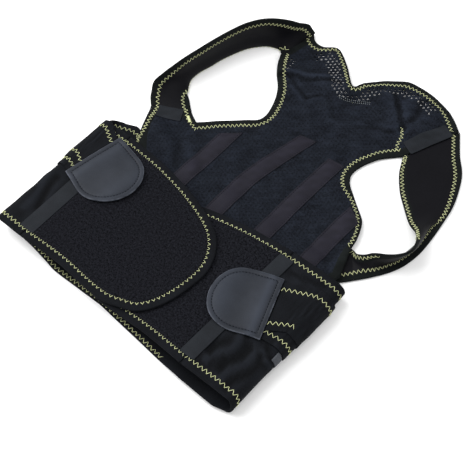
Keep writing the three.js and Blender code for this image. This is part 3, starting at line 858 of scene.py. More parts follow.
def dots_group():
    """Round dots in a staggered field, for punched holes. Place is in millimetres."""
    tree, nodes, source, target = make_group(
        "Punched dots",
        [("Place", VECTOR, None), ("Pitch", FLOAT, 6.0), ("Radius", FLOAT, 1.0), ("Turn", FLOAT, 0.0)],
        [("Mask", FLOAT)],
    )
    turned = nodes.tree.nodes.new("ShaderNodeVectorRotate")
    turned.rotation_type = "Z_AXIS"
    nodes.put(turned.inputs["Vector"], source["Place"])
    nodes.put(turned.inputs["Angle"], source["Turn"])
    parts = nodes.tree.nodes.new("ShaderNodeSeparateXYZ")
    nodes.put(parts.inputs[0], turned.outputs[0])
    pitch = source["Pitch"]
    tall = nodes.math("MULTIPLY", pitch, 3**0.5)
    nearest = None
    for shift in (0.0, 0.5):
        x = nodes.math("ADD", nodes.math("DIVIDE", parts.outputs[0], pitch), shift)
        y = nodes.math("ADD", nodes.math("DIVIDE", parts.outputs[1], tall), shift)
        x = nodes.math("SUBTRACT", nodes.math("FRACT", x), 0.5)
        y = nodes.math("SUBTRACT", nodes.math("FRACT", y), 0.5)
        x = nodes.math("MULTIPLY", x, pitch)
        y = nodes.math("MULTIPLY", y, tall)
        squares = nodes.math("ADD", nodes.math("POWER", x, 2), nodes.math("POWER", y, 2))
        away = nodes.math("SQRT", squares)
        nearest = away if nearest is None else nodes.math("MINIMUM", nearest, away)
    edge = nodes.math("MULTIPLY", source["Radius"], 0.6)
    nodes.put(target["Mask"], nodes.span(nearest, source["Radius"], edge))
    return tree


def ribs_group():
    """The ribs of a woven tape or elastic, across its length."""
    tree, nodes, source, target = make_group(
        "Woven ribs",
        [("Place", VECTOR, None), ("Pitch", FLOAT, 1.2), ("Cross", FLOAT, 0.5)],
        [("Height", FLOAT)],
    )
    parts = nodes.tree.nodes.new("ShaderNodeSeparateXYZ")
    nodes.put(parts.inputs[0], source["Place"])
    rounds = []
    for output in (0, 1):
        count = nodes.math("DIVIDE", parts.outputs[output], source["Pitch"])
        rounds.append(nodes.math("SINE", nodes.math("MULTIPLY", count, math.tau)))
    crossed = nodes.math("MULTIPLY", rounds[0], source["Cross"])
    total = nodes.math("ADD", rounds[1], crossed)
    nodes.put(target["Height"], nodes.span(total, -1.5, 1.5))
    return tree


def wear_and_shading_group():
    """Rubbed edges and a little lint; the same edge band is painted shade along the channel tapes'
    edges and a painted highlight along the leather's rim. Depth is the distance in from the edge in
    millimetres.
    """
    tree, nodes, source, target = make_group(
        "Edge wear",
        [("Place", VECTOR, None), ("Depth", FLOAT, 10.0), ("Reach", FLOAT, 1.2), ("Lint", FLOAT, 0.3)],
        [("Mask", FLOAT)],
    )
    rubbed = nodes.span(source["Depth"], source["Reach"], 0.0)
    patchy = nodes.span(nodes.noise(source["Place"], 0.12, 4.0, 0.7), 0.35, 0.65)
    specks = nodes.span(nodes.noise(source["Place"], 1.3, 2.0, 0.5), 0.68, 0.78)
    lint = nodes.math("MULTIPLY", specks, source["Lint"])
    both = nodes.math("ADD", nodes.math("MULTIPLY", rubbed, patchy), lint)
    nodes.put(target["Mask"], nodes.math("MINIMUM", both, 1.0))
    return tree


GRAIN, DOTS, RIBS, WEAR_AND_SHADING = grain_group(), dots_group(), ribs_group(), wear_and_shading_group()

# How far painted shade darkens creases and painted highlight lightens ridges of a cloth, and the
# shares of its dark and light dyes that the painted shade and highlight go to.
CREASE_SHADE_MIX = 0.62
CREASE_SHADE_TONE = 0.35
RIDGE_HIGHLIGHT_MIX = 0.45
RIDGE_HIGHLIGHT_TONE = 1.45
# Painted shade seen in the punched holes, for the dots of the finish.
HOLE_SHADE_COLOUR = (8, 9, 11)


def use(nodes, tree, **values):
    node = nodes.tree.nodes.new("ShaderNodeGroup")
    node.node_tree = tree
    for name, value in values.items():
        nodes.put(node.inputs[name], value)
    return node.outputs


def finish(
    name,
    dark,
    light,
    rough=(0.75, 0.95),
    grain=1.2,
    blotch=30.0,
    worn_and_shading_colour=None,
    wear_and_shading=0.25,
    reach=1.2,
    lint=0.15,
    relief=0.15,
    ribs=None,
    dots=None,
    specular=0.06,
    sheen=0.0,
    sharp=1.0,
):
    """A cloth finish: two dyes mixed by the grain, painted shade in creases and painted highlight on
    ridges, rubbed edges (painted shade along the channel tapes' edges, a painted highlight on the
    leather's rim), and its own ribs or dots, darkened in their hollows as painted shade.
    """
    material = bpy.data.materials.new(name)
    material.use_nodes = True
    nodes = Nodes(material.node_tree)
    shader = material.node_tree.nodes["Principled BSDF"]
    lay = material.node_tree.nodes.new("ShaderNodeAttribute")
    lay.attribute_name = "lay"
    place = lay.outputs["Vector"]
    edge = material.node_tree.nodes.new("ShaderNodeAttribute")
    edge.attribute_name = "depth"
    grained = use(nodes, GRAIN, Place=place, Grain=grain, Blotch=blotch)
    contrast = 0.5 - 0.5 / sharp
    shade = nodes.span(grained["Shade"], contrast, 1.0 - contrast)
    colour = nodes.blend(shade, linear(*dark), linear(*light))
    height = nodes.math("MULTIPLY", grained["Height"], relief)
    if ribs:
        pitch, cross, deep = ribs
        ribbed = use(nodes, RIBS, Place=place, Pitch=pitch, Cross=cross)["Height"]
        height = nodes.math("ADD", height, nodes.math("MULTIPLY", ribbed, deep))
        # The rib grooves are darkened towards the dark dye: painted shade.
        shade = nodes.span(ribbed, 0.0, 0.5, 0.75, 0.0)
        colour = nodes.blend(nodes.math("MULTIPLY", shade, 0.6), colour, linear(*dark))
    if dots:
        pitch, radius, turn = dots
        mask = use(nodes, DOTS, Place=place, Pitch=pitch, Radius=radius, Turn=turn)["Mask"]
        # The dots are darkened: painted shade in the holes.
        colour = nodes.blend(nodes.math("MULTIPLY", mask, 0.5), colour, linear(*HOLE_SHADE_COLOUR))
        height = nodes.math("SUBTRACT", height, nodes.math("MULTIPLY", mask, 0.5))
    # Painted shade in creases and painted highlight on ridges, from the fold attribute.
    crease = material.node_tree.nodes.new("ShaderNodeAttribute")
    crease.attribute_name = "fold"
    sunk = nodes.span(crease.outputs["Fac"], 0.0, -1.0, 0.0, CREASE_SHADE_MIX)
    raised = nodes.span(crease.outputs["Fac"], 0.0, 1.0, 0.0, RIDGE_HIGHLIGHT_MIX)
    colour = nodes.blend(sunk, colour, linear(*(value * CREASE_SHADE_TONE for value in dark)))
    colour = nodes.blend(raised, colour, linear(*(value * RIDGE_HIGHLIGHT_TONE for value in light)))
    # An edge band: rubbed edges and lint on most cloths, painted shade along the channel tapes' edges,
    # a painted highlight along the leather's rim.
    mask = use(nodes, WEAR_AND_SHADING, Place=place, Depth=edge.outputs["Fac"], Reach=reach, Lint=lint)["Mask"]
    colour = nodes.blend(nodes.math("MULTIPLY", mask, wear_and_shading), colour, linear(*(worn_and_shading_colour or light)))
    nodes.put(shader.inputs["Base Color"], colour)
    nodes.put(shader.inputs["Roughness"], nodes.span(grained["Shade"], 0.0, 1.0, rough[1], rough[0]))
    shader.inputs["Specular IOR Level"].default_value = specular
    if sheen:
        shader.inputs["Sheen Weight"].default_value = sheen
        shader.inputs["Sheen Roughness"].default_value = 0.4
    bumped = material.node_tree.nodes.new("ShaderNodeBump")
    bumped.inputs["Distance"].default_value = 0.001
    bumped.inputs["Strength"].default_value = 0.6
    nodes.put(bumped.inputs["Height"], height)
    nodes.put(shader.inputs["Normal"], bumped.outputs[0])
    return material


NEOPRENE = finish(
    "perforated_neoprene",
    (11, 13, 18),
    (27, 31, 39),
    grain=2.0,
    blotch=18,
    dots=(HOLE_PITCH, 1.1, -HOLE_TURN),
    worn_and_shading_colour=(58, 62, 68),
    relief=0.35,
    sharp=1.45,
)
HEM_CLOTH = finish(
    "folded_hem", (11, 13, 13), (22, 25, 25), grain=0.9, blotch=16, relief=0.25
)
# Its dark edge colour is painted shade along the tape's edges.
CHANNEL = finish(
    "channel_tape",
    (22, 21, 28),
    (33, 32, 41),
    rough=(0.5, 0.7),
    grain=0.8,
    blotch=40,
    ribs=(0.9, 0.6, 0.12),
    worn_and_shading_colour=(12, 12, 15),
    wear_and_shading=0.7,
    reach=1.8,
    relief=0.08,
    specular=0.1,
)
BELT_CLOTH = finish(
    "belt_cloth", (9, 10, 12), (20, 22, 26), grain=1.3, blotch=30, relief=0.3
)
PILE = finish(
    "loop_pile",
    (2, 2, 3),
    (30, 31, 36),
    rough=(0.9, 1.0),
    grain=1.15,
    blotch=2.2,
    relief=0.9,
    worn_and_shading_colour=(66, 68, 73),
    wear_and_shading=0.5,
    lint=0.8,
    reach=0.4,
    specular=0.03,
    sharp=2.0,
)
TAPE = finish(
    "seam_tape",
    (22, 24, 27),
    (33, 36, 41),
    rough=(0.55, 0.8),
    grain=0.9,
    blotch=25,
    ribs=(1.1, 0.5, 0.18),
    relief=0.08,
    specular=0.08,
)
SATIN = finish(
    "strap_satin",
    (7, 7, 10),
    (15, 15, 19),
    rough=(0.42, 0.55),
    grain=0.9,
    blotch=28,
    ribs=(0.8, 0.4, 0.06),
    relief=0.1,
    specular=0.06,
    sheen=0.03,
)
ELASTIC = finish(
    "ribbed_elastic",
    (10, 11, 13),
    (21, 23, 27),
    grain=0.8,
    blotch=20,
    ribs=(1.5, 0.35, 0.3),
    relief=0.1,
)
# Its light edge colour is a painted highlight along the rim, with a little lint.
LEATHER = finish(
    "coated_leather",
    (28, 31, 37),
    (41, 45, 53),
    rough=(0.5, 0.62),
    grain=0.7,
    blotch=22,
    worn_and_shading_colour=(104, 109, 120),
    wear_and_shading=0.7,
    reach=1.2,
    relief=0.12,
    specular=0.14,
)
THREAD_PALE = finish(
    "pale_thread",
    (184, 188, 132),
    (232, 236, 188),
    rough=(0.5, 0.7),
    grain=0.7,
    relief=0.0,
    wear_and_shading=0.0,
)
THREAD_DARK = finish(
    "dark_thread", (10, 11, 14), (24, 26, 31), grain=0.7, relief=0.0, wear_and_shading=0.0
)
GREY_SATIN = finish(
    "grey_satin", (56, 58, 63), (72, 75, 80), rough=(0.5, 0.6), specular=0.1
)
LABEL_DOTS = finish(
    "label_dots", (120, 126, 128), (160, 166, 168), rough=(0.5, 0.6), relief=0.0, wear_and_shading=0.0
)


# Back panel.


def lattice(x_range, y_range, keep):
    """Punched places of the staggered field inside a region."""
    spots = []
    rows = int((y_range[1] - y_range[0] + x_range[1] - x_range[0]) / HOLE_PITCH) * 2
    c, s = math.cos(HOLE_TURN), math.sin(HOLE_TURN)
    for row in range(-rows, rows):
        for column in range(-rows, rows):
            u = (column + (row % 2) / 2) * HOLE_PITCH
            v = row * HOLE_PITCH * 3**0.5 / 2
            x, y = u * c - v * s, u * s + v * c
            if x_range[0] < x < x_range[1] and y_range[0] < y < y_range[1] and keep(x, y):
                spots.append((x, y))
    return spots


# Creases of the back panel as it lies: from, to, height and half width.
CREASES = [
    ((-92, 181), (-55, 205), -1.9, 2.8),
    ((-55, 205), (-32, 214), -1.7, 2.8),
    ((-79, 186), (-51, 177), -1.3, 2.6),
    ((-51, 177), (-40, 188), -1.2, 2.6),
    ((-88, 190), (-52, 214), 1.2, 5.0),
    ((-70, 176), (-44, 168), 0.8, 6.0),
    ((22, 247), (33, 236), -1.6, 3.0),
    ((33, 236), (57, 211), -2.4, 3.4),
    ((57, 252), (63, 223), -1.9, 3.2),
    ((63, 223), (57, 211), -1.6, 3.2),
    ((44, 246), (50, 228), 1.6, 6.0),
    ((18, 236), (44, 208), 1.3, 6.5),
    ((72, 238), (74, 216), 1.0, 6.0),
    ((20, 178), (48, 200), -1.0, 3.6),
    ((-27, 191), (-14, 176), -0.8, 4.0),
    ((-3, 196), (16, 214), 0.9, 7.0),
    ((-112, 32), (-98, 8), -1.5, 4.5),
    ((-104, 40), (-84, 22), 1.0, 6.0),
    ((-78, 46), (-80, 18), -0.9, 4.0),
    ((99, 48), (96, 19), -1.2, 4.0),
    ((109, 30), (106, 12), 1.0, 5.0),
]


def hem_width(x, y):
    """The back's hem: narrower left of the neck and at the left armhole's lower end."""
    neck = 3.9 * bump(x, y, (-64, 256), (-24, 226), 15)
    armhole = 5.0 * bump(x, y, (76, 98), (106, 54), 13)
    return HEM - neck - armhole


def mesh_field(x, y):
    """Where the cloth is thin and stands off the floor, so that light shows through it."""
    left = bump(x, y, (-68, 242), (-32, 210), 12)
    right = bump(x, y, (-8, 222), (18, 243), 9) + bump(x, y, (30, 249), (70, 250), 9)
    arm = bump(x, y, (-101, 207), (-97, 194), 9)
    return np.minimum(left + right + arm, 1)


def back_bend(x, y):
    past = smooth((y - 14) / 30)
    wander = 2.2 * np.sin(x / 9 + y / 17) + 1.2 * np.sin(y / 5 - x / 11)
    fine = 0.5 * waves(x, y, 36, 3) + 0.22 * waves(x, y, 15, 5)
    creases = sum(
        height * 0.75 * bump(x + wander, y - wander, start, end, reach * 1.25)
        for start, end, height, reach in CREASES
    )
    return (fine + 0.4) * past + creases * smooth((y - 2) / 14)


def back_relief(x, y, depth):
    wide = hem_width(x, y)
    hem = 0.35 * smooth((wide + 0.9 - depth) / 0.8)
    groove = -0.3 * np.exp(-(((depth - wide) / 1.4) ** 2))
    return hem + groove


def hemmed(x, y, depth):
    """The folded hem follows the neck and the armholes, down to the belt."""
    return ((depth < hem_width(x, y) + 0.4) & (y > -4)).astype(int)


# How far the cloth stands up, and how much thinner it is, where light shows through it.
MESH_RISE = 2.2
MESH_THIN = 1.9


def back_low(x, y):
    return back_under(x, y) + MESH_RISE * smooth(mesh_field(x, y) * 1.6)


def back_thinned(x, y, depth):
    thin = smooth(mesh_field(x, y) * 1.6) * smooth((depth - hem_width(x, y) - 0.8) / 2.5)
    return back_relief(x, y, depth) - MESH_THIN * thin


# The punched holes end this far in from the edge. Past them the finish has dots, darkened as painted
# shade of holes.
HOLES_IN = {"shoulder": 23, "yoke": 22}
HOLES_OFF_HEM = 3.2
SHOULDER_END = -22
BACK_FLAT = (300, 425)


def near_neck(x, y):
    shoulder = -82 < x < -24 and 196 < y < 256
    yoke = -24 < x < 72 and max(190, 196 + x * 0.6) < y < 262
    arm = -106 < x < -90 and 190 < y < 212
    return shoulder or yoke or arm


def punched_holes():
    holes = np.array(lattice((-120, 110), (170, 270), near_neck))
    depth, inside = edge_depth(holes, BACK_OUTLINE)
    reach = np.where(holes[:, 0] < SHOULDER_END, HOLES_IN["shoulder"], HOLES_IN["yoke"])
    beyond_hem = depth > hem_width(holes[:, 0], holes[:, 1]) + HOLES_OFF_HEM
    return holes[inside & beyond_hem & (depth < reach)]


def back_cloth():
    back = Cloth(BACK_OUTLINE, back_low, BACK_THICK, back_bend, back_thinned)
    piece = back.build(
        "back_cloth", [NEOPRENE, HEM_CLOTH], grid=3.0, holes=punched_holes(), zone=hemmed
    )
    dress(piece, "back_panel", BACK_FLAT, area=back.area)
    return back


def sewn(cloth, line, kind=zigzag, under=False, **sizes):
    return kind(*face_line(cloth, np.asarray(line, float), under), **sizes)


def stretch_line(points):
    """The line of the hem's stitches, to the right of the way through points."""
    curve = through(points)
    wide = hem_width(curve[:, 0], curve[:, 1])[::-1, None]
    return inset(curve[::-1], wide, closed=False)[::-1]


# The back's rows of zigzag: neck, both armholes, a notch in the yoke, two on the right flange.
BACK_LINES = [
    stretch_line(NECK),
    stretch_line(LEFT_ARMHOLE),
    stretch_line(RIGHT_ARMHOLE),
    catmull([(70, 181), (66, 190), (64, 200), (57, 210), (56, 212)], 4),
    catmull([(-170, 61), (-160, 36), (-154, 18), (-149, 3), (-148, 1)], 4),
    catmull([(-143, 78), (-135, 71), (-126, 66.5), (-115, 63), (-113, 62.5)], 4),
]
FLANGE_BAR = np.array([(-131, 69.5), (-130.2, 69.0)])
FLANGE_BAR_HEADING = np.array([0.84, -0.54, 0])


def back_stitches(back):
    rows = []
    for under in (False, True):
        for line in BACK_LINES:
            rows.append(sewn(back, line, under=under, step=FINE_STITCH))
    centre, up = face_line(back, FLANGE_BAR)
    rows.append(bartack(centre[0], up[0], FLANGE_BAR_HEADING))
    sew("thread_back", rows, THREAD_PALE)


# Two rows of pale marks beside the neck.
MARKS = np.array([(-21, 200), (-10, 204), (1, 209), (8, 213), (11, 215)])
MARKS_APART = 2.4


def neck_marks(back):
    rows = []
    for shift in (0.0, MARKS_APART):
        line = catmull(MARKS + (-shift / 2, shift), 4)
        rows.append(sewn(back, line, lock_stitches, length=0.8, gap=1.5, radius=0.34))
    sew("thread_label", rows, LABEL_DOTS)


# Stay channels: their middle at the foot, the waist and the head, the head's height, its slant.
CHANNELS = [
    (-0.83, -0.83, -0.825, 0.31, 0.065),
    (-0.29, -0.285, -0.13, 0.49, 0.015),
    (0.27, 0.265, 0.3, 0.467, 0.01),
    (0.835, 0.83, 0.85, 0.31, -0.05),
]
CHANNEL_SEAM = 2.0


def channel_relief(x, y, depth):
    dome = 0.9 * smooth((depth - 2.2) / 3.4)
    return dome - 0.25 * np.exp(-(((depth - CHANNEL_SEAM) / 0.6) ** 2))


def stay_channel(number, foot, waist, head, up, slant):
    """One channel on the back. Its two rows of stitches come back, to be sewn with the others."""
    middle = np.array(
        [
            (foot * HALF_BACK, -0.86 * BELT_HEIGHT),
            (foot * HALF_BACK, 0),
            (waist * HALF_BACK, up * BACK_RISE / 2.4),
            (head * HALF_BACK, up * BACK_RISE),
        ]
    )
    sides = []
    for sign in (-1, 1):
        side_line = middle + (sign * CHANNEL_WIDTH / 2, 0)
        side_line[-1, 1] += sign * slant * BACK_RISE / 2
        sides.append(side_line)
    right_side, left_side = sides[0], sides[1][::-1]
    head_end, foot_end = [right_side[-1], left_side[0]], [left_side[-1], right_side[0]]
    tape = Cloth(
        outline_of([right_side, head_end, left_side, foot_end])[::-1],
        lambda x, y: back_top(x, y) + 0.05,
        CHANNEL_THICK * 0.75,
        back_bend,
        channel_relief,
    )
    piece = tape.build(
        f"channel_{number}", [CHANNEL], grid=3.0, rings=(0.2, 0.6, 1.4, 2.0, 2.7, 3.8, 5.4)
    )
    size = (CHANNEL_WIDTH, run_length(middle))
    dress(piece, f"stay_channel_{number}", size)
    return [
        sewn(tape, through(side_line) + (aside, 0), lock_stitches)
        for side_line, aside in zip(sides, (CHANNEL_SEAM, -CHANNEL_SEAM))
    ]


def stay_channels():
    rows = []
    for number, places in enumerate(CHANNELS, 1):
        rows += stay_channel(number, *places)
    sew("thread_channels", rows, THREAD_DARK)


# Waist belt.


def on_upper(side, x, y, out):
    x, y = np.broadcast_arrays(np.asarray(x, float), y)
    z = wing_under(side)(x) + BELT_THICK / 2 + out
    return np.stack([x, y, z], -1), np.broadcast_to([0.0, 0.0, 1.0], (*x.shape, 3))


def on_floor(x, y, out):
    x, y = np.broadcast_arrays(np.asarray(x, float), y)
    z = belt_lift(x) + BELT_THICK / 2 - out
    return np.stack([x, y, z], -1), np.broadcast_to([0.0, 0.0, -1.0], (*x.shape, 3))


def on_fold(side, turn, y, out):
    x = arc_x(side)
    high = wing_under(side)(x) + BELT_THICK / 2
    low = belt_lift(x) + BELT_THICK / 2
    upper, lower = side["swell"]
    swell = upper + (lower - upper) * smooth(-y / BELT_HEIGHT)
    reach, half = FOLD_REACH * swell, (high - low) / 2
    c, s = math.cos(turn), math.sin(turn)
    normal = np.stack([side["sign"] * c / reach, np.zeros_like(y), s / half + 0 * y], -1)
    normal /= np.linalg.norm(normal, axis=-1, keepdims=True)
    point = np.stack(
        [x + side["sign"] * reach * c, y, (high + low) / 2 + half * s + 0 * y], -1
    )
    return point + normal * out, normal


FOLD_STEPS = 20


def fold_turn(step):
    return math.pi * (0.5 - step / FOLD_STEPS)


def belt_stations():
    """Each station across the belt: a function of y, and its upper and lower edge."""
    found = []

    def seam(side):
        found.append(
            (lambda y: on_upper(side, seam_x(side, y) + side["sign"] * 0.1, y, 0), 0, -BELT_HEIGHT)
        )

    def flat(side, inwards):
        sign = side["sign"]
        inner = arc_x(side) - sign * 1.5
        for share in np.linspace(0.06, 0.97, 14)[:: -1 if inwards else 1]:

            def place(y, share=share):
                start = seam_x(side, y)
                return on_upper(side, start + (inner - start) * share, y, 0)

            found.append((place, 0, -BELT_HEIGHT))

    def fold(side, steps):
        x = arc_x(side)
        for step in steps:
            share = float(smooth(step / FOLD_STEPS))
            found.append(
                (
                    lambda y, step=step: on_fold(side, fold_turn(step), y, 0),
                    float(back_edge(x, EDGE_UPPER)) * share,
                    -BELT_HEIGHT + float(back_edge(x, EDGE_LOWER)) * share,
                )
            )

    seam(RIGHT)
    flat(RIGHT, False)
    fold(RIGHT, range(FOLD_STEPS + 1))
    for x in np.arange(arc_x(RIGHT) + 4, arc_x(LEFT) - 3, 4.0):
        found.append(
            (
                lambda y, x=x: on_floor(x, y, 0),
                float(back_edge(x, EDGE_UPPER)),
                -BELT_HEIGHT + float(back_edge(x, EDGE_LOWER)),
            )
        )
    fold(LEFT, range(FOLD_STEPS, -1, -1))
    flat(LEFT, True)
    seam(LEFT)
    return found


def belt_net():
    """Places and normals in the middle of the belt's cloth, one row for each station."""
    stations = belt_stations()
    steps = cross_steps([upper - lower for _, upper, lower in stations], 30)
    found = [place(lower + row) for (place, _, lower), row in zip(stations, steps)]
    return (np.array(part) for part in zip(*found))


# Creases of the belt's sides: from, to, height and half width.
BELT_CREASES = [
    ((88, -108), (92, -124), 2.2, 5.0),
    ((92, -124), (80, -144), 2.2, 5.0),
    ((80, -118), (78, -136), -1.6, 4.0),
    ((102, -110), (98, -142), -1.7, 4.5),
    ((112, -112), (104, -150), 1.6, 5.0),
    ((120, -116), (114, -154), -1.1, 4.0),
    ((98, -103), (115, -104), 1.4, 2.4),
    ((115, -104), (127, -111), 1.5, 2.4),
    ((84, -22), (116, -12), -0.9, 4.0),
    ((-182, -92), (-172, -136), 1.0, 5.0),
    ((-172, -88), (-164, -128), -0.9, 4.0),
]


def belt_lifts(points):
    """Wrinkles of the belt, up from its middle: strongest on the sides and the lower edge."""
    x, y, z = points[..., 0], points[..., 1], points[..., 2]
    up = smooth((z - 8) / 8)
    wander = 1.8 * np.sin(y / 8 + x / 15)
    creases = sum(
        height * bump(x + wander, y, start, end, reach)
        for start, end, height, reach in BELT_CREASES
    )
    return up * (creases + 0.35 * waves(x, y, 22, 11)) + (1 - up) * 0.2 * waves(x, y, 40, 12)


def fold_shading_net(points):
    """The folds of a net on the belt, from the belt's own creases, as painted shade in creases and
    painted highlight on ridges.
    """

    def lift(x, y):
        return belt_lifts(np.stack([x, y, points[..., 2]], -1))

    return folded(lift, points[..., 0], points[..., 1])


# The belt's painted shade in creases and painted highlight on ridges are this much stronger.
BELT_FOLD_SHADING_SHARE = 1.4
BELT_MIDDLE = 20
# The low row of stitches on the belt's inside runs near its edge, and ends where it no longer shows.
NARROW_ROW_END = 48


def waist_belt():
    points, normals = belt_net()
    lifts = belt_lifts(points)
    fold = fold_shading_net(points) * BELT_FOLD_SHADING_SHARE
    piece = band(
        "belt_cloth_band", points, normals, BELT_THICK, [BELT_CLOTH], lift=lifts, fold=fold
    )
    size = (BELT_HEIGHT, run_length(points[:, BELT_MIDDLE]))
    dress(piece, "belt_back", size)
    x, z = points[:, HEM_COLUMN, 0], points[:, HEM_COLUMN, 2]
    shown = np.flatnonzero((z < 2 * BELT_THICK) & (x < NARROW_ROW_END))
    rows = []
    for column, face, seen in (
        (HEM_COLUMN, 1, slice(None)),
        (NARROW_COLUMN, -1, slice(shown[0], shown[-1])),
        (-1 - HEM_COLUMN, 1, slice(None)),
        (-1 - HEM_COLUMN, -1, slice(None)),
    ):
        rise = lifts[seen, column, None] + face * (BELT_THICK / 2 - THREAD_SEAT)
        normal = normals[seen, column]
        rows.append(zigzag(points[seen, column] + normal * rise, normal * face))
    sew("thread_belt", rows, THREAD_PALE)


# Wings, their pile and the tapes over their seams.
WING = [
    (0.3, 0.02),
    (0.56, 0.07),
    (0.8, 0.16),
    (0.93, 0.27),
    (1, 0.43),
    (0.995, 0.6),
    (0.95, 0.78),
    (0.87, 0.91),
    (0.76, 0.965),
    (0.62, 1),
    (0.3, 0.985),
]


def wing_points(side):
    round_points = []
    for length, down in [(0, 0), *WING, (0, 1)]:
        y = -down * BELT_HEIGHT
        round_points.append((seam_x(side, y) - side["sign"] * (0.05 + length * WING_LENGTH), y))
    return np.array(round_points)


def belt_hem(x, y, depth):
    return 0.3 * smooth((HEM + 0.9 - depth) / 0.8) - 0.3 * np.exp(-(((depth - HEM) / 1.3) ** 2))


def wing_cloth(name, side):
    """One front wing, sewn flat to the belt and waved towards its free end."""
    way = wing_points(side)
    outline = outline_of([way, [way[-1], way[0]]])
    if side["sign"] < 0:
        outline = outline[::-1]
    under = wing_under(side)

    def bend(x, y):
        free = smooth(np.abs(x - seam_x(side, y)) / 30)
        return 0.35 * free * (waves(x, y, 46, side["wrinkles"]) + 0.3)

    def relief(x, y, depth):
        at_seam = smooth(np.abs(x - seam_x(side, y)) / 6)
        return belt_hem(x, y, depth) * at_seam

    wing = Cloth(outline, lambda x, y: under(x), BELT_THICK, bend, relief)
    piece = wing.build(f"wing_cloth_{name}", [BELT_CLOTH], grid=3.4)
    area = min(wing.area, BELT_HEIGHT * WING_LENGTH)
    dress(piece, f"wing_{name}", (BELT_HEIGHT, WING_LENGTH), area=area)
    return wing


def pile_cloth(name, side, wing):
    """The loop pile on a wing, a border in from its edge."""
    edge = inset(divided(wing.outline, 2.0), PILE_BORDER)
    depth, inside = edge_depth(edge, wing.outline)
    edge = edge[inside & (depth > PILE_BORDER * 0.97)]
    source = np.random.default_rng(side["wrinkles"])
    under = wing_under(side)

    def fuzz(x, y, depth):
        loops = 0.22 * source.random(len(x))
        return loops + 0.16 * waves(x, y, 5, 41) + 0.35 * smooth(depth / 2.5)

    pile = Cloth(
        edge,
        lambda x, y: under(x) + BELT_THICK + 0.02 + wing.bend(x, y),
        PILE_THICK * 0.6,
        None,
        fuzz,
    )
    piece = pile.build(
        f"pile_cloth_{name}", [PILE], grid=1.7, edge_step=1.6, rings=(0.2, 0.6, 1.4, 2.6)
    )
    size = (edge.max(0) - edge.min(0))[::-1]
    dress(piece, f"pile_{name}", size, area=pile.area)


def tape_cloth(name, corners, under, bend, domed):
    """A straight tape between four corners, a little domed, in the finish of the seam tapes."""
    tape = Cloth(
        corners, under, TAPE_THICK, bend, lambda x, y, depth: domed * smooth((depth - 1.0) / 2.5)
    )
    piece = tape.build(name, [TAPE], grid=3.0, rings=(0.2, 0.6, 1.2, 2.4, 4.0))
    return piece, tape.area


def seam_tape(name, side):
    """The tape over the seam between belt and wing, as far as it shows."""
    half = TAPE_WIDTH / 2
    upper, lower = -side["tape"] * BELT_HEIGHT, PILE_BORDER - BELT_HEIGHT
    ends = ((upper, half), (upper, -half), (lower, -half), (lower, half))
    corners = np.array([(seam_x(side, y) + aside, y) for y, aside in ends])
    under = wing_under(side)
    piece, area = tape_cloth(
        f"tape_{name}", corners, lambda x, y: under(x) + BELT_THICK + 0.4, None, 0.35
    )
    size = (TAPE_WIDTH, upper - lower)
    dress(piece, f"seam_tape_{name}", size, area=area)


def wing_stitches(name, side, wing):
    line = inset(through(wing_points(side)), side["sign"] * HEM, closed=False)
    rows = [sewn(wing, line, under=under, step=STITCH) for under in (False, True)]
    sew(f"thread_wing_{name}", rows, THREAD_PALE)


# Pull tabs.


def tab_frame(side):
    share, down, turn = side["tab"]
    angle = math.radians(turn)
    middle = np.array([fold_x(side) - side["sign"] * share * LOOP_WIDTH, -down * BELT_HEIGHT])
    along = np.array([math.cos(angle), math.sin(angle)])
    return middle, along, np.array([-along[1], along[0]])


TAB_STRAIGHT = 0.42
TAB_GROOVE = 5.0


def tab_outline(side):
    middle, along, across = tab_frame(side)
    half, straight = TAB_WIDTH / 2, TAB_STRAIGHT * TAB_DEPTH
    local = [(0, -half)]
    for turn in np.linspace(-0.5, 0.5, 41) * math.pi:
        bow = max(0.0, math.cos(turn)) ** 0.8
        u, v = straight + (TAB_DEPTH - straight) * bow, half * math.sin(turn)
        fuller = side["tab_bulge"] * math.sin(math.pi * u / TAB_DEPTH)
        local.append((u + 0.5 * side["tab_bulge"] * bow, v + (-fuller if v < 0 else 0)))
    local.append((0, half))
    return np.array([middle + along * u + across * v for u, v in local])


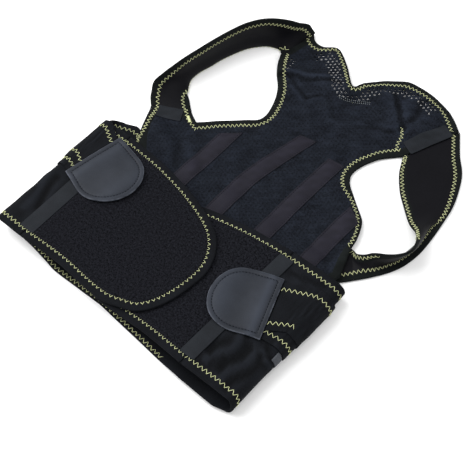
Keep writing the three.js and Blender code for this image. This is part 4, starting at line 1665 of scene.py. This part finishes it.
def pull_tab(name, side):
    """A tab of coated leather: a stitched groove inside its rim, and a roll along its length."""
    outline = tab_outline(side)
    under = wing_under(side)
    middle, along, across = tab_frame(side)

    def on_tab(x, y):
        u = (x - middle[0]) * along[0] + (y - middle[1]) * along[1]
        v = (x - middle[0]) * across[0] + (y - middle[1]) * across[1]
        return u, v

    def bend(x, y):
        u, v = on_tab(x, y)
        roll = 1.0 * np.sin(u / 7.5 + 0.6) * smooth(u / 14) + 1.2 * smooth(u / TAB_DEPTH) ** 2
        return roll + 0.4 * np.cos(v / 14) + 0.5

    def relief(x, y, depth):
        u, v = on_tab(x, y)
        turn = np.arctan2(v, u - TAB_DEPTH * 0.45)
        rim = 0.3 * np.exp(-(((depth - 2.3) / 1.9) ** 2))
        groove = -0.6 * np.exp(-(((depth - TAB_GROOVE) / 0.7) ** 2))
        pucker = 0.14 * np.sin(turn * 46) * np.exp(-(((depth - 6.5) / 2.4) ** 2))
        return rim + groove + pucker + 0.35 * smooth((depth - TAB_GROOVE) / 6)

    tab = Cloth(
        outline,
        lambda x, y: under(x) + BELT_THICK + PILE_THICK + 0.3,
        TAB_THICK,
        bend,
        relief,
        side["tab_fold_shading"],
    )
    piece = tab.build(
        f"tab_{name}",
        [LEATHER],
        grid=1.7,
        edge_step=1.2,
        rings=(0.15, 0.4, 0.9, 1.6, 2.4, 3.2, 4.0, 4.6, 5.0, 5.4, 6.0, 7.2),
    )
    size, on_wing = (TAB_WIDTH, TAB_DEPTH), [f"wing_cloth_{name}"]
    dress(piece, f"pull_tab_{name}", size, area=tab.area)
    line = inset(divided(outline, 1.0), TAB_GROOVE)
    depth, inside = edge_depth(line, outline)
    line = line[inside & (depth > TAB_GROOVE * 0.97)]
    dashes = sewn(tab, np.vstack([line, line[:1]]), lock_stitches, radius=0.42)
    sew(f"thread_tab_{name}", [dashes], THREAD_DARK)


# Elastics: out from the tab's straight edge, round the fold and in below the back of the belt.
# Each layer's node and piece, its place in the stack, its width and its shift across the tab.
ELASTICS = [
    ("elastic_base", "elastic_lower", 0, ELASTIC_BASE_WIDTH, 0.02),
    ("elastic_strap", "elastic_upper", 1, ELASTIC_WIDTH, -0.06),
]
# Stations on the wing and below the belt, those that the fold gathers, and the stitches' ends.
WING_STATIONS = 22
FLOOR_STATIONS = 10
GATHER_START, GATHER_RISE, GATHER_END = 8, 12, 36
ROW_END = 38
SHORT_ROW_END = 25


def elastic_net(side, layer, width, shift):
    """Places and normals from the tab, over the wing, round the fold and below the belt."""
    middle, along, across = tab_frame(side)
    sign = side["sign"]
    out = BELT_THICK / 2 + 0.1 + ELASTIC_THICK / 2 + layer * (ELASTIC_THICK + 0.2)
    share = cross_steps([width], 10)[0] / width
    low_slope, high_slope = side["slopes"][layer]
    slope = low_slope + (high_slope - low_slope) * share
    aside = sign * (shift * TAB_WIDTH - width * (share - 0.5))
    start = middle - along * GAP + across * aside[:, None]
    arc = arc_x(side)
    at_fold = start[:, 1] + slope * (arc - start[:, 0])
    found = []
    for part in np.linspace(0, 0.97, WING_STATIONS):
        x = start[:, 0] + (arc - start[:, 0]) * part
        found.append(on_upper(side, x, start[:, 1] + slope * (x - start[:, 0]), out))
    for step in range(FOLD_STEPS + 1):
        found.append(on_fold(side, fold_turn(step), at_fold, out))
    for part in np.linspace(0.08, 1, FLOOR_STATIONS):
        found.append(on_floor(arc - sign * UNDERLAP * part, at_fold, out))
    return (np.array(part) for part in zip(*found))


def elastic(name, side, node, label, layer, width, shift):
    """One layer of elastic at one side, gathered where it nears the fold."""
    points, normals = elastic_net(side, layer, width, shift)
    station = np.arange(len(points))
    gather = smooth((station - GATHER_START) / GATHER_RISE) * (station < GATHER_END)
    gather = gather[:, None]
    ripple = 0.4 * gather * waves(points[..., 0] * 2.2, points[..., 1] * 0.5, 9, 51 + layer)
    lift = ripple + belt_lifts(points) * (points[..., 2] > 14) * 0.5 + 0.35 * gather
    # Painted shade and painted highlight on the gathers and on the belt's creases.
    fold = fold_shading_net(points) * 0.5 + ripple * 1.6
    piece = band(
        f"{label}_{name}", points, normals, ELASTIC_THICK, [ELASTIC], lift=lift, fold=fold
    )
    size = (width, run_length(points[:, len(EDGE_COLUMNS)]))
    dress(piece, f"{node}_{name}", size)
    rows = []
    for column in (HEM_COLUMN, -1 - HEM_COLUMN) if layer else (HEM_COLUMN,):
        short = name == "left" and layer and column == HEM_COLUMN
        end = SHORT_ROW_END if short else ROW_END
        normal = normals[:end, column]
        rise = lift[:end, column, None] + ELASTIC_THICK / 2
        rows.append(zigzag(points[:end, column] + normal * rise, normal))
    sew(f"thread_{label}_{name}", rows, THREAD_PALE)


# A small grey satin end shows below the left elastic, at the fold.
SATIN_ROWS = np.linspace(-106, -95, 9)
SATIN_STEPS = range(4, 15)
SATIN_OUT = 2.1


def satin_end():
    found = [on_fold(LEFT, fold_turn(step), SATIN_ROWS, SATIN_OUT) for step in SATIN_STEPS]
    points, normals = (np.array(part) for part in zip(*found))
    piece = band("satin_end", points, normals, 0.6, [GREY_SATIN])
    run = run_length(points[:, len(SATIN_ROWS) // 2])


# Shoulder straps: the edge by the floor, the turned-up edge, and how high that one stands.
STRAPS = {
    "right": [
        ((-1.34, 0.287), (-1.77, 0.21), 0),
        ((-1.46, 0.324), (-1.85, 0.246), 0.18),
        ((-1.58, 0.368), (-1.85, 0.301), 0.49),
        ((-1.67, 0.419), (-1.78, 0.368), 0.71),
        ((-1.68, 0.478), (-1.73, 0.434), 0.8),
        ((-1.64, 0.537), (-1.69, 0.5), 0.82),
        ((-1.61, 0.596), (-1.64, 0.574), 0.87),
        ((-1.56, 0.654), (-1.58, 0.64), 0.91),
        ((-1.48, 0.721), (-1.49, 0.71), 0.98),
        ((-1.36, 0.772), (-1.35, 0.779), 1),
        ((-1.24, 0.79), (-1.2, 0.853), 0.8),
        ((-1.17, 0.785), (-1.08, 0.938), 0.34),
        ((-1.118, 0.778), (-1.028, 0.968), 0.02),
    ],
    "left": [
        ((1.09, 0.912), (0.8, 0.662), 0),
        ((1.26, 0.816), (0.89, 0.588), 0),
        ((1.41, 0.746), (1.03, 0.518), 0),
        ((1.5, 0.676), (1.18, 0.463), 0.04),
        ((1.57, 0.596), (1.34, 0.404), 0.16),
        ((1.6, 0.522), (1.47, 0.364), 0.33),
        ((1.62, 0.449), (1.57, 0.316), 0.58),
        ((1.63, 0.39), (1.61, 0.272), 0.67),
        ((1.63, 0.338), (1.6, 0.239), 0.71),
        ((1.61, 0.283), (1.54, 0.21), 0.71),
        ((1.57, 0.232), (1.45, 0.188), 0.67),
        ((1.49, 0.176), (1.33, 0.173), 0.56),
        ((1.38, 0.118), (1.17, 0.165), 0.2),
        ((1.29, 0.077), (1.08, 0.186), 0),
        ((1.24, 0.055), (1.02, 0.176), 0),
        ((1.17, 0.029), (0.95, 0.151), 0),
    ],
}

# Where a strap stands on its edge, its lower hem lies on the floor: tucked below the strap and
# away from the armhole, or flared out so that it still shows.
TUCK = 9.0
FLARE = 9.5
FLOOR_BEND = 1.6
STRAP_MIDDLE = 14
INNER_ROW_PARTS = (slice(0, 57), slice(95, None))
ARMHOLE_MIDDLE = {"right": on_back([-1.15, 0.53]), "left": on_back([1.0, 0.42])}


def soft_ramp(distance):
    return FLOOR_BEND * np.logaddexp(0, distance / FLOOR_BEND)


def tucked(foot, head, width, stands, outward):
    """A strap whose hem turns in below it where it stands: its places, and how far along each."""
    whole = width + TUCK * stands[:, 0]
    steps = cross_steps(whole)
    past_hem = soft_ramp(steps - TUCK * stands)
    up_strap = steps * (1 - stands) + past_hem * stands
    aside = (past_hem - (steps - TUCK * stands)) * stands
    points = (
        foot[:, None]
        + ((head - foot) / width[:, None])[:, None] * up_strap[..., None]
        + outward[:, None] * aside[..., None]
    )
    return points, steps / whole[:, None]


def flared(foot, head, width, stands, outward):
    """A strap whose hem spreads on the floor where it stands: its places, and how far along."""
    knee = foot - outward * FLARE
    knee[:, 2] = GAP / 2 + STRAP_THICK / 2
    upright = np.linalg.norm(head - knee, axis=1)
    whole = width * (1 - stands[:, 0]) + (FLARE + upright) * stands[:, 0]
    steps = cross_steps(whole)
    plain = foot[:, None] + ((head - foot) / whole[:, None])[:, None] * steps[..., None]
    past_hem = soft_ramp(steps - FLARE)
    on_floor_part = steps - past_hem
    low_edge = np.column_stack([foot[:, :2], knee[:, 2]])
    spread = (
        low_edge[:, None]
        - outward[:, None] * on_floor_part[..., None]
        + ((head - knee) / upright[:, None])[:, None] * past_hem[..., None]
    )
    points = plain * (1 - stands[..., None]) + spread * stands[..., None]
    return points, steps / whole[:, None]


def strap_net(name, table):
    """Places in the middle of a strap's cloth, how far across each is, and the strap's width."""
    low = np.array([(*on_back(low), 0) for low, _, _ in table])
    high = np.array([(*on_back(high), rise * STRAP_STAND) for _, high, rise in table])
    foot, head = through(low, 9), through(high, 9)
    head[:, 2] = np.maximum(0, head[:, 2])
    wide = head - foot
    width = np.linalg.norm(wide, axis=1)
    flat = np.hypot(wide[:, 0], wide[:, 1]) / width
    foot[:, 2] += GAP / 2 + STRAP_THICK / 2 * flat
    head[:, 2] += GAP / 2 + STRAP_THICK / 2 * flat
    stands = smooth((head[:, 2] - foot[:, 2] - 8) / 18)[:, None]
    heading = np.gradient(foot[:, :2], axis=0)
    outward = np.column_stack([heading[:, 1], -heading[:, 0], np.zeros(len(foot))])
    outward /= np.linalg.norm(outward, axis=1, keepdims=True)
    away = foot[:, :2] - ARMHOLE_MIDDLE[name]
    outward *= np.sign((outward[:, :2] * away).sum(1))[:, None]
    shaped = tucked if name == "right" else flared
    return *shaped(foot, head, width, stands, outward), width


def shoulder_strap(name, table):
    points, across, width = strap_net(name, table)
    normals = net_normals(points)
    bow = 1.8 * np.sin(math.pi * across) * smooth((points[..., 2] - 4) / 14)
    lift = 0.25 * waves(points[..., 0] + points[..., 2], points[..., 1], 30, 61) - bow
    piece = band(
        f"strap_{name}", points, normals, STRAP_THICK, [SATIN, HEM_CLOTH], lift=lift, hem=HEM
    )
    run = run_length(points[:, STRAP_MIDDLE])
    size, area = (width.max(), run), width.mean() * run
    dress(piece, f"shoulder_strap_{name}", size, area=area)
    runs = [(HEM_COLUMN, slice(None)), (-1 - HEM_COLUMN, slice(None))]
    if name == "left":
        runs[1:] = [(-1 - NARROW_COLUMN, part) for part in INNER_ROW_PARTS]
    rows = []
    for column, part in runs:
        normal = normals[part, column]
        for face in (1, -1):
            rise = lift[part, column, None] + face * (STRAP_THICK / 2 - THREAD_SEAT)
            line = points[part, column] + normal * rise
            rows.append(zigzag(line, normal * face, step=FINE_STITCH))
    if name == "left":
        seat = points[2:5, -1 - NARROW_COLUMN] + (0, 0, STRAP_THICK / 2)
        along_strap = (seat[2] - seat[0]) / np.linalg.norm(seat[2] - seat[0])
        rows.append(bartack(seat[1], normals[3, -1 - NARROW_COLUMN], along_strap, length=7))
    sew(f"thread_strap_{name}", rows, THREAD_PALE)


# The tapes over the straps' seams end short of the hems and reach a little past the seams.
TAPE_HEM = 9.6
SEAM_COVER = 2.0


def strap_tape(name, start, end, towards):
    run = (end - start) / np.linalg.norm(end - start)
    aside = np.array([-run[1], run[0]]) * towards
    seam = [start + run * TAPE_HEM, end - run * TAPE_HEM]
    near = [corner - aside * SEAM_COVER for corner in seam]
    corners = np.array([*near, *(corner + aside * STRAP_TAPE_WIDTH for corner in near[::-1])])
    a, b, c = corners[:3]
    if np.cross(b - a, c - b) < 0:
        corners = corners[::-1]
    piece, area = tape_cloth(
        f"yoke_tape_{name}", corners, lambda x, y: back_top(x, y) + 0.3, back_bend, 0.3
    )
    size = sorted([np.linalg.norm(b - a), np.linalg.norm(c - b)])
    dress(piece, f"strap_tape_{name}", size, area=area)


# The pieces, from the floor up.
back = back_cloth()
back_stitches(back)
neck_marks(back)
stay_channels()
waist_belt()
for name, side in SIDES.items():
    wing = wing_cloth(name, side)
    pile_cloth(name, side, wing)
    seam_tape(name, side)
    wing_stitches(name, side, wing)
for name, side in SIDES.items():
    pull_tab(name, side)
for name, side in SIDES.items():
    for layer in ELASTICS:
        elastic(name, side, *layer)
satin_end()
for name, table in STRAPS.items():
    shoulder_strap(name, table)
strap_tape("left", LEFT_ARMHOLE[0], NECK[-1], 1)
strap_tape("right", FLANGE[0], FLANGE[1], -1)

# Floor, light and camera.
CAMERA_TURN = 40
CAMERA_RISE = 58
CAMERA_AWAY = 1.0
CAMERA_LENS = 74.4
CAMERA_AIM = (np.array([4, -12, 0]) + SHIFT) / 1000


def floor_finish():
    material = bpy.data.materials.new("pale_floor")
    material.use_nodes = True
    shader = material.node_tree.nodes["Principled BSDF"]
    shader.inputs["Base Color"].default_value = (0.94, 0.94, 0.94, 1)
    shader.inputs["Roughness"].default_value = 0.9
    return material


FLOOR_REACH = 6
FLOOR_BELOW = 0.0002
CORNERS = ((-1, -1), (1, -1), (1, 1), (-1, 1))
mesh = bpy.data.meshes.new("floor")
mesh.from_pydata(
    [(x * FLOOR_REACH, y * FLOOR_REACH, -FLOOR_BELOW) for x, y in CORNERS], [], [(0, 1, 2, 3)]
)
mesh.materials.append(floor_finish())
floor = bpy.data.objects.new("floor", mesh)
bpy.context.scene.collection.objects.link(floor)


def back_direction(turn, rise):
    """The way from the part to something that looks at it: turned from -Y, and risen."""
    a, e = math.radians(turn), math.radians(rise)
    return Vector((math.sin(a) * math.cos(e), -math.cos(a) * math.cos(e), math.sin(e)))


def add_light(name, turn, rise, away, size, power):
    """A round soft light, in metres and watts, that points at what the camera looks at."""
    light = bpy.data.lights.new(name, "AREA")
    light.shape = "DISK"
    light.size = size
    light.energy = power
    lamp = bpy.data.objects.new(name, light)
    direction = back_direction(turn, rise)
    lamp.location = Vector(CAMERA_AIM) + direction * away
    lamp.rotation_euler = direction.to_track_quat("Z", "Y").to_euler()
    bpy.context.scene.collection.objects.link(lamp)


add_light("key", turn=285, rise=48, away=1.6, size=1.8, power=34)
add_light("fill", turn=110, rise=60, away=1.8, size=1.8, power=12)

world = bpy.data.worlds.new("studio")
world.use_nodes = True
world.node_tree.nodes["Background"].inputs["Color"].default_value = (1, 1, 1, 1)
world.node_tree.nodes["Background"].inputs["Strength"].default_value = 0.72
bpy.context.scene.world = world

bpy.context.scene.view_settings.view_transform = "Standard"

camera_data = bpy.data.cameras.new("camera")
camera_data.sensor_width = 36
camera_data.lens = CAMERA_LENS
camera = bpy.data.objects.new("camera", camera_data)
back_way = back_direction(CAMERA_TURN, CAMERA_RISE)
camera.location = Vector(CAMERA_AIM) + back_way * CAMERA_AWAY
camera.rotation_euler = back_way.to_track_quat("Z", "Y").to_euler()
bpy.context.scene.collection.objects.link(camera)
bpy.context.scene.camera = camera
